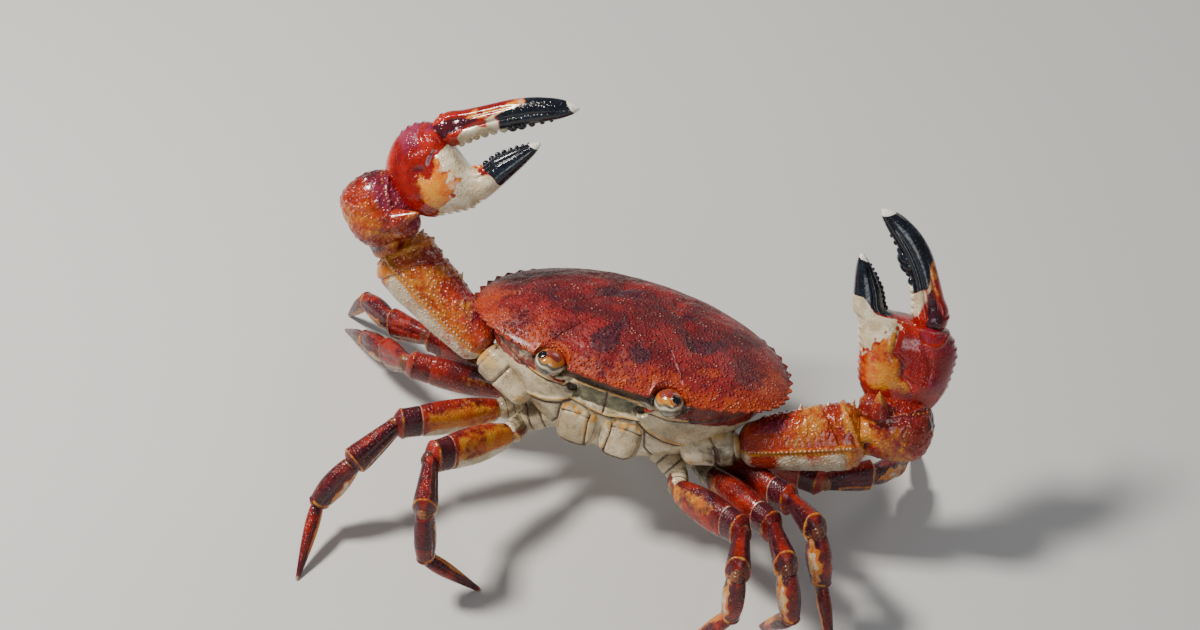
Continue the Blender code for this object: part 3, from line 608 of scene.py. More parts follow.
# %% Feelers
ROOT, TIP = np.array((0.128, -0.292, -0.045)), np.array((0.165, -0.352, 0.000))
FEELER_RADIUS, FEELER_BOW = 0.0055, 0.012
t = np.linspace(0, 1, 40)[:, None]
middle = ROOT + (TIP - ROOT) * t - np.array((0, 1, 0)) * FEELER_BOW * np.sin(t * np.pi)
blunt_ends = np.sqrt(np.clip(1 - (2 * t - 1) ** 16, 0, 1) + 1e-4)
thick = FEELER_RADIUS * (1 - 0.55 * t) * (1 + 0.10 * np.sin(t * 110)) * blunt_ends
side_way = unit(np.cross(TIP - ROOT, (0, 0, 1)))
up_way = np.cross(side_way, unit(TIP - ROOT))
ring_turn = around(20)[None, :, None]
rod = middle[:, None] + thick[:, None] * (np.cos(ring_turn) * side_way + np.sin(ring_turn) * up_way)
for label, side in SIDES.items():
    placed(f"feeler_{label}", form_of(on_body(rod * (side, 1, 1)), gold=0.3), LEG, "leg", f"antenna_{label}")

# %% [markdown]
# ## Walking legs
# A crab's leg is a chain of hollow tubes, flattened from side to side, with soft wrinkled skin at each joint.
# The joints come from the same angles as the solids. Each tube is a profile carried along its own axis:
# narrow where it plugs into the tube before, wider at the far end, and rounded over both ends. A cream hip
# with a short root joins each leg to the breastplate.

# %% Where the joints are
HIPS = {1: (.250, -.132, -.318), 2: (.280, -.065, -.305), 3: (.280, .018, -.305), 4: (.262, .090, -.300)}
SEGMENTS = ("hip", "merus", "carpus", "propodus", "dactyl")
LENGTHS = {1: (.090, .300, .180, .185, .240), 2: (.092, .325, .180, .185, .245),
           3: (.090, .315, .180, .190, .240), 4: (.130, .290, .165, .185, .225)}
HALF_HEIGHTS, HALF_WIDTHS = (.036, .059, .049, .045, .025), (.032, .041, .034, .032, .019)
# Degrees that each segment turns back from straight out, and that each but the last climbs.
LEG_POSES = {
    ("left", 1): ((-73, -31, -78, -97, 180), (0, 16, 9, -83)),
    ("left", 2): ((-36, -37, -62, -50, 140), (-2, 14, 12, -71)),
    ("left", 3): ((-34, -27, -50, -45, -50), (0, 15, 19, -71)),
    ("left", 4): ((-13, -8, 35, 66, 85), (-3, 0, -5, -31)),
    ("right", 1): ((-71, -56, -106, -110, 155), (-6, 17, -11, -78)),
    ("right", 2): ((-41, -36, -58, -46, -94), (-8, 5, -20, -47)),
    ("right", 3): ((-23, -9, 41, 37, 44), (-3, 8, -33, -27)),
    ("right", 4): ((-12, 9, 20, 34, 36), (-5, 4, -17, -14)),
}


def heading(turned, climb, side):
    """The direction turned degrees back from straight out to the side, climbing by climb degrees."""
    turned, climb = math.radians(turned), math.radians(climb)
    level = math.cos(climb)
    return np.array((side * level * math.cos(turned), level * math.sin(turned), math.sin(climb)))


def leg_joints(label, pair):
    """The six joints from hip to foot; the last segment leans until its end meets the floor."""
    side = SIDES[label]
    turns, climbs = LEG_POSES[label, pair]
    joints = [on_body(np.array(HIPS[pair]) * (side, 1, 1))]
    for turned, climb, length in zip(turns, climbs, LENGTHS[pair]):
        joints.append(joints[-1] + heading(turned, climb, side) * length * W)
    last = LENGTHS[pair][4] * W
    drop = math.degrees(math.asin(min(joints[-1][2] / last, 1.0)))
    joints.append(joints[-1] + heading(turns[-1], -drop, side) * last)
    return np.array(joints)


print("right first leg's joints, mm:", (leg_joints("right", 1) * 1000).round(1).tolist())


# %% One tube of a limb
def tube(start, end, side_way, half_side, half_up, sizes, over=(0.0, 0.0), power=2.3, rows=96, turns=56,
         top=(0, 0, 1)):
    """Points, share along, height round a tube, the way out, and the angle round, with rounded ends.

    The rings run from over[0] before start to over[1] past end. A ring's radius is the flowing size there
    times the square root of how far it is from a closed end, which rounds the end.
    """
    run = unit(end - start)
    length = np.linalg.norm(end - start)
    side_axis = unit(side_way - run * (side_way @ run))
    up_axis = np.cross(side_axis, run)
    up_axis = up_axis * np.where(up_axis @ np.asarray(top, float) >= 0, 1.0, -1.0)
    low, high = -over[0] / length, 1.0 + over[1] / length
    ease = 0.5 - 0.5 * np.cos(np.linspace(0.004, np.pi - 0.004, rows))
    t = low + (high - low) * (0.55 * ease + 0.45 * np.linspace(ease[0], ease[-1], rows))
    size = flowing(t, [item[0] for item in sizes], [item[1] for item in sizes])
    near_start = np.clip((t - low) * length / (0.9 * half_side * size[0]), 0, 1)
    near_end = np.clip((high - t) * length / (0.9 * half_side * size[-1]), 0, 1)
    dome = np.sqrt(1 - (1 - near_start) ** 2) * np.sqrt(1 - (1 - near_end) ** 2)
    ring_turn = around(turns)
    across, upward = oblong(ring_turn, half_side, half_up, power)
    ring = (size * dome)[:, None, None] * (across[:, None] * side_axis + upward[:, None] * up_axis)
    grid = start + run * (t[:, None, None] * length) + ring
    t = np.broadcast_to(t[:, None], (rows, turns))
    return grid, t, np.broadcast_to(np.sin(ring_turn), t.shape), unit(ring + 1e-12), ring_turn


# %% The shape and paint of a leg's segments
# Each segment's size at shares of its length, and how far its tube runs past either end, in widths.
LEG_SIZES = {
    "hip": ((-0.2, .80), (0.3, 0.95), (0.75, 1.06), (1.1, 0.92)),
    "merus": ((-0.05, .58), (0.08, .74), (0.28, 0.95), (0.48, 1.02), (0.72, 0.97), (0.84, .90), (0.93, .88),
              (1.06, .82)),
    "carpus": ((-0.10, .56), (0.10, .68), (0.35, .84), (0.65, 1.0), (0.86, 1.10), (1.08, 1.0)),
    "propodus": ((-0.08, .62), (0.10, .82), (0.32, 1.0), (0.60, 1.05), (0.82, .92), (1.06, .70)),
    "dactyl": ((-0.06, .70), (0.10, .98), (0.28, 1.02), (0.52, .84), (0.78, .54), (0.92, .36), (1.0, .27)),
}
OVERLAPS = {"hip": (0.0, 0.012), "dactyl": (0.006, 0.0)}
USUAL_OVERLAP = (0.006, 0.016)
LEG_ROWS, LEG_TURNS = 112, 64


def leg_push(segment, t, height, cloud):
    """How far a segment stands out from its tube, in half widths: rims, ridges, beads and flutes."""
    body = rise(t, 0.05, 0.25) * (1 - rise(t, 0.80, 0.98))
    push = 0.02 * cloud * body
    if segment not in ("dactyl", "hip"):
        push = push + 0.085 * bell(t, 0.965, 0.022)
    if segment == "merus":
        beads = np.clip(np.sin(t * 190), 0, 1)
        push = push - 0.07 * bell(t, 0.775, 0.014) + 0.05 * bell(height, 1.0, 0.04) * body
        push = push + 0.045 * bell(height, 1.0, 0.07) * beads * body
    if segment in ("carpus", "propodus", "dactyl"):
        push = push - 0.12 * (bell(height, 0.38, 0.16) + bell(height, -0.45, 0.16)) * body
    if segment == "carpus":
        push = push + 0.16 * rise(t, 0.80, 0.97) * bell(height, 1.0, 0.22)
    return push


def hip_paint(at):
    """Dark ring lines, golden and olive clouds, and a red patch that is largest on the first pair."""
    rings = bell(at.t, 0.22, 0.030) + bell(at.t, 0.52, 0.025) + bell(at.t + 0.06 * at.height, 0.80, 0.030)
    patch = 0.3 * rise(at.cloud, 0.3, 0.8)
    if at.pair == 1:
        patch = 0.8 * rise(at.facing, 0.2, 0.7) * rise(at.t, 0.45, 0.6)
    return {"line": 0.75 * rings, "gold": 0.45 * rise(at.cloud, -0.2, 0.6) + 0.4 * bell(at.t, 0.92, 0.05),
            "olive": 0.55 * rise(-at.cloud, 0.0, 0.6), "red": patch * rise(at.height, -0.3, 0.2)}


def merus_paint(at):
    """A purple band before a golden rim, behind a pale line. The right front pairs are golden and cream."""
    band = rise(at.t, 0.775, 0.80) * (1 - rise(at.t, 0.955, 0.975))
    near = 1 - rise(at.t, 0.70, 0.79)
    beneath = rise(-at.height + 0.25 * at.facing + 0.15 * at.cloud, 0.15, 0.65)
    golden = 0.20 + 0.46 * at.warm + 0.25 * at.cloud - 0.35 * rise(at.height, 0.7, 1.0)
    return {"dark": 0.9 * at.banded * band * rise(at.height, -0.95, -0.5)
            + (0.75 - 0.5 * at.warm) * near * rise(at.cloud, 0.0, 0.7),
            "gold": near * golden + 0.45 * bell(at.t, 0.965, 0.022),
            "pale": 0.55 * at.banded * bell(at.t, 0.775, 0.012) + 0.85 * at.warm * beneath * near
            + 0.4 * at.start_skin}


def carpus_paint(at):
    """Purple, with a pale lower edge that has a golden border, and a golden rim."""
    edge = rise(-at.height + 0.35 * at.facing, 0.30, 0.80) * rise(at.cloud, -0.9, 0.0)
    rim = bell(at.t, 0.965, 0.022)
    return {"dark": 0.90 * at.banded - 0.60 * rise(np.abs(at.height), 0.85, 1.0)
            - 0.3 * rise(at.cloud, 0.4, 0.9),
            "pale": 0.40 * edge + 0.45 * at.start_skin + 0.35 * rim * rise(at.cloud, -0.2, 0.5),
            "gold": 0.65 * bell(edge, 0.5, 0.4) + 0.5 * rim}


def propodus_paint(at):
    """Purple, with a ragged cream and gold streak down the face that turns forward."""
    middle, width = (0.35, 0.42) if at.label == "left" else (-0.50, 0.50)
    streak = rise(at.facing, -0.2, 0.4) * bell(at.height, middle, width) * bell(at.t, 0.50, 0.34)
    return {"dark": 0.78 - 0.6 * rise(at.cloud, 0.2, 0.8) - 0.3 * rise(np.abs(at.height), 0.9, 1.0),
            "pale": 0.62 * rise(streak + 0.30 * at.fine + 0.2 * at.cloud, 0.40, 0.95) + 0.35 * at.start_skin,
            "gold": 0.8 * rise(streak + 0.15 * at.fine, 0.12, 0.4)
            + 0.60 * bell(at.t, 0.93, 0.04) * rise(at.facing, -0.2, 0.4)}


def dactyl_paint(at):
    """A purple claw with golden edges, a dark ring near its end and a horny pale point."""
    low_edge = rise(-at.height + 0.4 * at.facing + 0.2 * at.cloud, 0.25, 0.75)
    return {"dark": (0.66 - 0.5 * rise(at.cloud, 0.2, 0.8)) * (1 - rise(at.t, 0.74, 0.86))
            + 0.8 * bell(at.t, 0.86, 0.05),
            "gold": 0.75 * low_edge * (1 - rise(at.t, 0.62, 0.85)),
            "pale": 0.25 * at.start_skin + 0.50 * rise(at.t, 0.90, 0.97)}


LEG_PAINTS = dict(zip(SEGMENTS, (hip_paint, merus_paint, carpus_paint, propodus_paint, dactyl_paint)))


# %% Segments, hip roots and joint skins
def leg_segment(label, pair, index, joints, lateral):
    """One tube of a leg, pushed out and painted after its kind."""
    segment = SEGMENTS[index]
    start, end = joints[index], joints[index + 1]
    half_up, half_side = HALF_HEIGHTS[index] * W, HALF_WIDTHS[index] * W
    before, past = OVERLAPS.get(segment, USUAL_OVERLAP)
    reach_way = unit((joints[5] - joints[1]) * (1, 1, 0))
    grid, t, height, out_way, ring_turn = tube(
        start, end, lateral, half_side, half_up, LEG_SIZES[segment], (before * W, past * W),
        rows=LEG_ROWS, turns=LEG_TURNS, top=reach_way + (0, 0, 0.8))
    seed = pair * 10 + index + (40 if label == "left" else 0)
    cloud = waves(grid / W, 0.13, seed)
    grid = pushed(grid, out_way, half_side * leg_push(segment, t, height, cloud))
    if segment == "dactyl":
        grid[..., 2] = np.maximum(grid[..., 2], 0.0)
    paint = LEG_PAINTS[segment](SimpleNamespace(
        label=label, pair=pair, t=t, height=height, facing=-SIDES[label] * np.cos(ring_turn) + 0 * t,
        cloud=cloud, fine=waves(grid / W, 0.035, seed + 3), start_skin=1 - rise(t, 0.01, 0.06),
        warm=1.0 if label == "right" and pair < 3 else 0.15,
        banded=0.45 if label == "right" and pair > 2 else 1.0))
    name = f"leg{pair}_{label}_{segment}"
    if segment == "hip":
        form = joined([form_of(grid, **paint), hip_root(label, pair, start, end)])
        placed(name + "_shell", form, UNDER, "cream", name)
    else:
        placed(name + "_shell", form_of(grid, **paint), LEG, "leg", name)


def hip_root(label, pair, hip, knee):
    """The short barrel that carries a hip into the body: it runs from inside the breastplate past the hip."""
    inside = on_body(np.array(HIPS[pair]) * (0.58 * SIDES[label], 0.92, 0.82))
    outer_end = hip + unit(knee - hip) * 0.020 * W
    grid, t, _, out_way, _ = tube(
        inside, outer_end, np.cross(outer_end - inside, (0, 0, 1)), 0.037 * W, 0.041 * W,
        ((0.0, 1.1), (0.5, 1.0), (1.0, 0.98)), (0.0, 0.012 * W), rows=44, turns=36)
    rings = bell(t, 0.50, 0.05) + bell(t, 0.80, 0.04)
    grid = pushed(grid, out_way, -0.004 * W * rings)
    cloud = waves(grid / W, 0.10, pair + 60)
    return form_of(grid, line=0.7 * rings, gold=0.4 * rise(cloud, 0.0, 0.7),
                   olive=0.4 * rise(-cloud, 0.1, 0.8))


def joint_skin(joints, index, lateral):
    """The wrinkled skin that shows between two tubes: a short ribbed barrel round the joint."""
    run = unit(unit(joints[index] - joints[index - 1]) + unit(joints[index + 1] - joints[index]))
    half_up = min(HALF_HEIGHTS[index - 1], HALF_HEIGHTS[index]) * W
    half_side = min(HALF_WIDTHS[index - 1], HALF_WIDTHS[index]) * W
    start, end = joints[index] - run * 0.75 * half_up, joints[index] + run * 0.75 * half_up
    grid, t, height, out_way, _ = tube(start, end, lateral, 0.68 * half_side, 0.64 * half_up,
                                       ((0, 0.9), (0.5, 1.0), (1, 0.9)), power=2.1, rows=32, turns=32)
    fold = np.sin(t * 38 + 1.2 * np.sin(height * 3))
    grid = pushed(grid, out_way, 0.035 * half_side * fold)
    # Painted shade: the troughs of the folds are painted dark.
    return form_of(grid, line=0.4 * rise(-fold, 0.2, 1.0))


# %% Build the eight legs
for label in SIDES:
    for pair in HIPS:
        joints = leg_joints(label, pair)
        reach_way = joints[5] - joints[1]
        lateral = unit(np.array((-reach_way[1], reach_way[0], 0.0)))
        for index in range(len(SEGMENTS)):
            leg_segment(label, pair, index, joints, lateral)
        skins = joined([joint_skin(joints, index, lateral) for index in range(1, len(SEGMENTS))])
        placed(f"leg{pair}_{label}_joint_skin", skins, MEMBRANE, "cream")

# %% [markdown]
# ## Claw arms
# Each claw arm has a short base, a stout three-sided arm with thorns on its upper edge, a knobbly wrist, and
# a palm that runs on into the fixed finger. The movable finger hinges on the palm's far upper corner.

# %% The arms' places
CLAW_HIP = np.array((0.262, -0.165, -0.222))
ARM_UPWARD, KNEE_SHARE = np.array((0.0, 0.6, 0.8)), 0.30
BEAD = 0.0036 * W
# Half the thickness of a base and an arm, from side to side and up, and the size along each.
BASE_HALF, ARM_HALF = (0.051 * W, 0.057 * W), (0.072 * W, 0.098 * W)
BASE_SIZES = ((-0.3, 0.7), (0.3, 0.92), (0.8, 1.06), (1.1, 0.95))
ARM_SIZES = ((-0.03, 0.60), (0.14, 0.75), (0.5, 0.93), (0.80, 1.02), (0.90, 1.02), (1.06, 0.84))
ARM_THORNS, KEEL_HEIGHT, KNOB_RADIUS = (0.50, 0.72, 0.92), -0.12, 0.068 * W
WRIST_HALF, KNUCKLE_HALF = np.array((0.113, 0.095, 0.103)) * W, np.array((0.046, 0.048, 0.047)) * W
# elbow, carpus (the wrist's middle) and wrist (where the palm starts) are offsets from the body's middle.
# hinge, tip, gape, root and fixed are places in the palm's flat frame: along it, and towards the finger.
# divide and white are edges of colour there. black and slope say where the two fingers turn black.
CLAWS = {
    "left": {
        "elbow": (0.752, -0.040, -0.110), "carpus": (0.838, 0.010, -0.082), "wrist": (0.834, 0.057, -0.040),
        "along": (-0.10, 0.45, 0.89), "towards": (0.95, 0.29, -0.04), "hinge": (0.285, 0.062),
        "gape": 0.278, "root": (0.300, -0.126), "fixed": (0.471, -0.170), "tip": (0.612, -0.128),
        "bow": 0.038, "black": 0.28, "slope": 0.34, "face": -1.0, "violet": 0.5, "hood": 0.35,
        "molar": 1.0, "gold_from": (0.2, 0.5),
        "divide": ((0.0, 0.070), (0.24, 0.028), (0.43, -0.014), (0.69, -0.041), (0.96, -0.046)),
        "white": ((-0.150, 0.46), (-0.141, 0.53), (-0.119, 0.67), (-0.082, 0.88), (-0.034, 1.0), (0.0, 1.4))},
    "right": {
        "elbow": (-0.786, -0.034, 0.138), "carpus": (-0.824, -0.036, 0.298), "wrist": (-0.771, 0.020, 0.364),
        "along": (0.768, 0.392, 0.507), "towards": (-0.638, 0.480, 0.602), "hinge": (0.205, 0.086),
        "gape": 0.200, "root": (0.225, -0.100), "fixed": (0.450, -0.078), "tip": (0.606, -0.038),
        "bow": 0.018, "black": 0.42, "slope": 0.08, "face": 1.0, "violet": 1.0, "hood": 0.65,
        "molar": 0.0, "gold_from": (-0.2, 0.2),
        "divide": ((0.0, 0.052), (0.18, 0.007), (0.60, -0.013), (0.80, 0.026), (1.13, 0.052)),
        "white": ((-0.130, 0.36), (-0.123, 0.43), (-0.112, 0.72), (-0.073, 0.92), (0.0, 0.86),
                  (0.024, 0.77), (0.055, 1.3))},
}


def claw_place(label, point):
    """The world place of one of the claw's points."""
    return BODY_PLACE + np.array(CLAWS[label][point]) * W


def claw_axes(label):
    """The palm's axes: along it, towards the movable finger, and out of one face."""
    along = unit(CLAWS[label]["along"])
    towards = np.array(CLAWS[label]["towards"])
    towards = unit(towards - along * (towards @ along))
    return along, towards, np.cross(along, towards)


def arm_line(label):
    """The claw arm's hip, knee and elbow, its direction, and the way its thorny edge faces."""
    hip, elbow = on_body(CLAW_HIP * (SIDES[label], 1, 1)), claw_place(label, "elbow")
    arm = unit(elbow - hip)
    upward = unit(ARM_UPWARD - arm * (arm @ ARM_UPWARD))
    return hip, hip + (elbow - hip) * KNEE_SHARE, elbow, arm, upward


# %% Arm pieces
def base_form(label):
    """The cream base between the body and the arm: a short tube with two sunk rings."""
    hip, knee, _, arm, upward = arm_line(label)
    grid, t, height, out_way, _ = tube(
        hip, knee, np.cross(arm, upward), *BASE_HALF, BASE_SIZES, (0.02 * W, 0.01 * W),
        rows=100, turns=100, top=upward)
    tint = waves(grid / W, 0.10, 3)
    rings = bell(t + 0.05 * tint, 0.52, 0.035) + 0.8 * bell(t, 0.90, 0.03)
    grid = pushed(grid, out_way, -0.006 * W * rings)
    return form_of(grid, line=0.6 * np.clip(rings, 0, 1) + 0.5 * rise(-tint, 0.3, 0.8),
                   gold=0.55 * rise(tint, -0.2, 0.6) + 0.5 * bell(t, 0.97, 0.04),
                   olive=0.45 * rise(-tint, -0.1, 0.7), red=0.45 * rise(height, 0.5, 1.0))


def elbow_knob(label, elbow):
    """The knobby skin that fills the elbow: a lumpy ball on the way from the elbow to the wrist."""
    knob, ball = superball(70, 90, 2.3)
    lumps = waves(ball, 0.75, 6)
    middle = elbow + (claw_place(label, "carpus") - elbow) * 0.30
    # Painted shade: dark where the lumps sink.
    return form_of(middle + knob * (1 + 0.07 * lumps[..., None]) * KNOB_RADIUS,
                   gold=0.55 + 0.45 * lumps, dark=0.7 * rise(-lumps, 0.3, 0.8))


def arm_form(label):
    """The arm: a three-sided tube with a beaded dark ridge, a stepped golden far rim, and three thorns."""
    _, knee, elbow, arm, upward = arm_line(label)
    grid, t, height, out_way, ring_turn = tube(
        knee, elbow, np.cross(arm, upward), *ARM_HALF, ARM_SIZES, (0.004 * W, 0.012 * W), power=2.6,
        rows=260, turns=220, top=upward)
    facing = SIDES[label] * np.cos(ring_turn) + 0 * t
    cloud = waves(grid / W, 0.12, 31)
    slant = t + 0.10 * height
    rim, step = bell(slant, 0.955, 0.022), bell(slant, 0.80, 0.014)
    crest = bell(height, 1.0, 0.03) * rise(t, 0.1, 0.3)
    keel = bell(height, KEEL_HEIGHT, 0.045) * rise(t, 0.05, 0.2)
    knurl = np.clip(waves(grid / W, 0.020, 17), 0, 1) * rise(height, -0.05, 0.2) * rise(t, 0.10, 0.25)
    push = 0.007 * rim + 0.006 * crest + 0.005 * keel + 0.0030 * knurl - 0.006 * step + 0.002 * cloud
    grid = pushed(grid, out_way, W * push)
    below = rise(-height, 0.10, 0.22)
    lower = below * (1 - rim)
    violet = 0.66 * bell(t, 0.28, 0.20) * rise(height, 0.15, 0.55) * rise(facing, -0.2, 0.4)
    gold = rise(height, -0.15, 0.05) * (0.50 + 0.32 * cloud) * rise(t, *CLAWS[label]["gold_from"])
    gold += 0.9 * rim + 0.5 * bell(height, KEEL_HEIGHT, 0.1)
    gold += lower * (0.35 + 0.4 * cloud + 0.6 * bell(height, -0.22, 0.10) + 0.5 * rise(t, 0.75, 0.9))
    pale = lower * (0.62 + 0.40 * cloud - 0.5 * bell(height, -0.18, 0.08) - 0.35 * rise(t, 0.78, 0.92))
    # The keel's dark is its own colour; the dark in the sunk step before the far rim is painted shade.
    dark = 0.35 * violet + 0.7 * keel * below + 0.3 * step
    parts = [form_of(grid, violet=violet, dark=dark, gold=gold, pale=pale)]
    for share in ARM_THORNS:
        foot = knee + (elbow - knee) * share + upward * 0.080 * W
        point = foot + (upward * 0.036 + arm * 0.012) * W
        parts.append(thorn(foot, point, 0.016 * W, gold=(0.5, 0.9), pale=(0.0, 0.9)))
    # Beads stand on the keel of the side that faces forward, and round the rim.
    keel_column = np.argmin(np.abs(height[0] - KEEL_HEIGHT) - 10 * (facing[0] > 0))
    keel_beads = grid[np.linspace(36, 208, 26).astype(int), keel_column]
    rim_beads = grid[int(0.925 * len(grid)), ::8]
    parts += bead_forms(keel_beads, np.full(len(keel_beads), BEAD), pale=0.6, gold=0.5)
    parts.append(elbow_knob(label, elbow))
    parts += bead_forms(rim_beads, np.full(len(rim_beads), BEAD), gold=0.8, pale=0.25)
    return joined(parts)


def wrist_form(label):
    """The wrist: a boxy ball, granular on its outer face, with a beaded rim, a hollow and a spike."""
    along, towards, out = claw_axes(label)
    outer = out * CLAWS[label]["face"]
    centre = claw_place(label, "carpus")
    shape, ball = superball(170, 220, 2.6)
    x, y, z = ball[..., 0], ball[..., 1], ball[..., 2]
    grain = np.clip(waves(ball, 0.15, 5), 0, 1) * rise(y, -0.3, 0.2)
    lip, below_lip = bell(z - 0.25 * x, 0.60, 0.045), bell(z - 0.25 * x, 0.44, 0.06)
    hollow = bell(np.linalg.norm(ball - unit((-0.80, 0.40, 0.0)), axis=-1), 0, 0.42)
    corner = bell(np.linalg.norm(ball - unit((-0.72, 0.15, 0.68)), axis=-1), 0, 0.42)
    ridge = bell(x + 0.45 * waves(ball, 1.1, 3), 0.35, 0.10) * rise(y, -0.1, 0.3) * rise(0.45 - z, 0, 0.3)
    bulge = (1 + 0.024 * waves(ball, 1.3, 8) + 0.020 * grain + 0.045 * lip - 0.020 * below_lip - 0.12 * hollow
             + 0.03 * ridge + 0.26 * corner)
    grid = centre + (shape * bulge[..., None] * WRIST_HALF) @ np.stack([towards, outer, along])
    cloud = waves(ball, 0.9, 15)
    tan = rise(0.95 - np.linalg.norm(ball - unit((-0.05, 0.9, -0.25)), axis=-1) + 0.22 * cloud, 0, 0.55)
    hood = CLAWS[label]["hood"] * rise(z + 0.3 * cloud, 0.0, 0.5) * rise(y, -0.2, 0.3) * (1 - hollow)
    gold = (0.46 * tan + 0.50 * hollow + 0.4 * corner + 0.30 * below_lip * rise(-x, -0.2, 0.5)
            + 0.35 * rise(-z, 0.6, 0.95)) * (1 - 0.5 * hood)
    dark = 0.55 * rise(cloud, -0.1, 0.7) * (1 - 0.8 * tan) * rise(y, -0.2, 0.3) + 0.45 * rise(x, 0.5, 0.9)
    form = form_of(grid, gold=gold, dark=dark, pale=0.35 * lip, violet=hood)
    foot = centre + (towards * -0.064 + along * 0.062 + outer * 0.070) * W
    point = foot + (towards * -0.012 + along * 0.080 + outer * 0.028) * W
    rim_beads = grid[int(np.argmin(np.abs(z[:, 0] - 0.60))), ::7]
    beads = bead_forms(rim_beads, np.full(len(rim_beads), BEAD), gold=0.7, pale=0.30)
    return joined([form, thorn(foot, point, 0.036 * W, gold=(0.0, 0.7)), *beads])


for label in SIDES:
    placed(f"claw_{label}_base_shell", base_form(label), UNDER, "cream", f"claw_{label}_base")
    placed(f"claw_{label}_arm_shell", arm_form(label), ARM, "claw", f"claw_{label}_merus")
    placed(f"claw_{label}_wrist_shell", wrist_form(label), ARM, "claw", f"claw_{label}_carpus")

# %% [markdown]
# ## Palms and fingers
# The palm is one swelling form from the narrow wrist to the tip of the fixed finger. Its rings sit on a line
# that turns down into the finger. A fold divides the red and purple upper lobe, which has a furrow of its
# own, from the orange lower face, which turns cream towards the finger. A raised cuff rings the hinge. The
# movable finger is a curved, tapering rod. Both fingers are black and glossy with pale worn tips, and blunt
# teeth face each other across the gape.

# %% Palm and fixed finger
PALM_ROWS, PALM_TURNS = 300, 240
# Rings of the palm: share of the way to the gape, place towards the finger, half height and half width.
PALM_RINGS = ((0.20, 0.0, 0.127, 0.068), (0.46, 0.002, 0.143, 0.078), (0.72, -0.006, 0.147, 0.080),
              (0.90, -0.022, 0.134, 0.072))
# Rings of the fixed finger: share of the way from its root to its tip, half height and half width.
FIXED_RINGS = ((0.0, 0.053, 0.048), (0.4, 0.040, 0.038), (0.75, 0.025, 0.025), (0.92, 0.014, 0.014))
# Where these stand in the list that palm_rings makes.
LAST_PALM_RING, GAPE_RING, ROOT_RING = 5, 6, 7
# Radii of the fixed finger's teeth from its root, and the row of the grid that holds the last one.
FIXED_TEETH = (0.009, 0.010, 0.011, 0.010, 0.010, 0.009, 0.008, 0.007, 0.005, 0.004)
LAST_TOOTH_ROW = 276


def in_palm(label, u, v):
    """A place in the palm's own flat frame: u along it and v towards the movable finger, in widths."""
    along, towards, _ = claw_axes(label)
    offset = along * np.asarray(u)[..., None] + towards * np.asarray(v)[..., None]
    return claw_place(label, "wrist") + offset * W


def palm_rings(label):
    """Place u, place v, half height and half width of each ring, from the wrist to the fixed finger's tip."""
    claw = CLAWS[label]
    (ru, rv), (fu, fv) = claw["root"], claw["fixed"]
    rings = [(-0.02, 0.0, 0.070, 0.040), (0.0, 0.0, 0.093, 0.056)]
    rings += [(share * claw["gape"], *rest) for share, *rest in PALM_RINGS]
    rings.append((claw["gape"], rv / 2 - 0.006, 0.094, 0.062))
    rings += [(ru + (fu - ru) * share, rv + (fv - rv) * share, *half) for share, *half in FIXED_RINGS]
    return np.array([*rings, (fu, fv, 0.005, 0.005)])


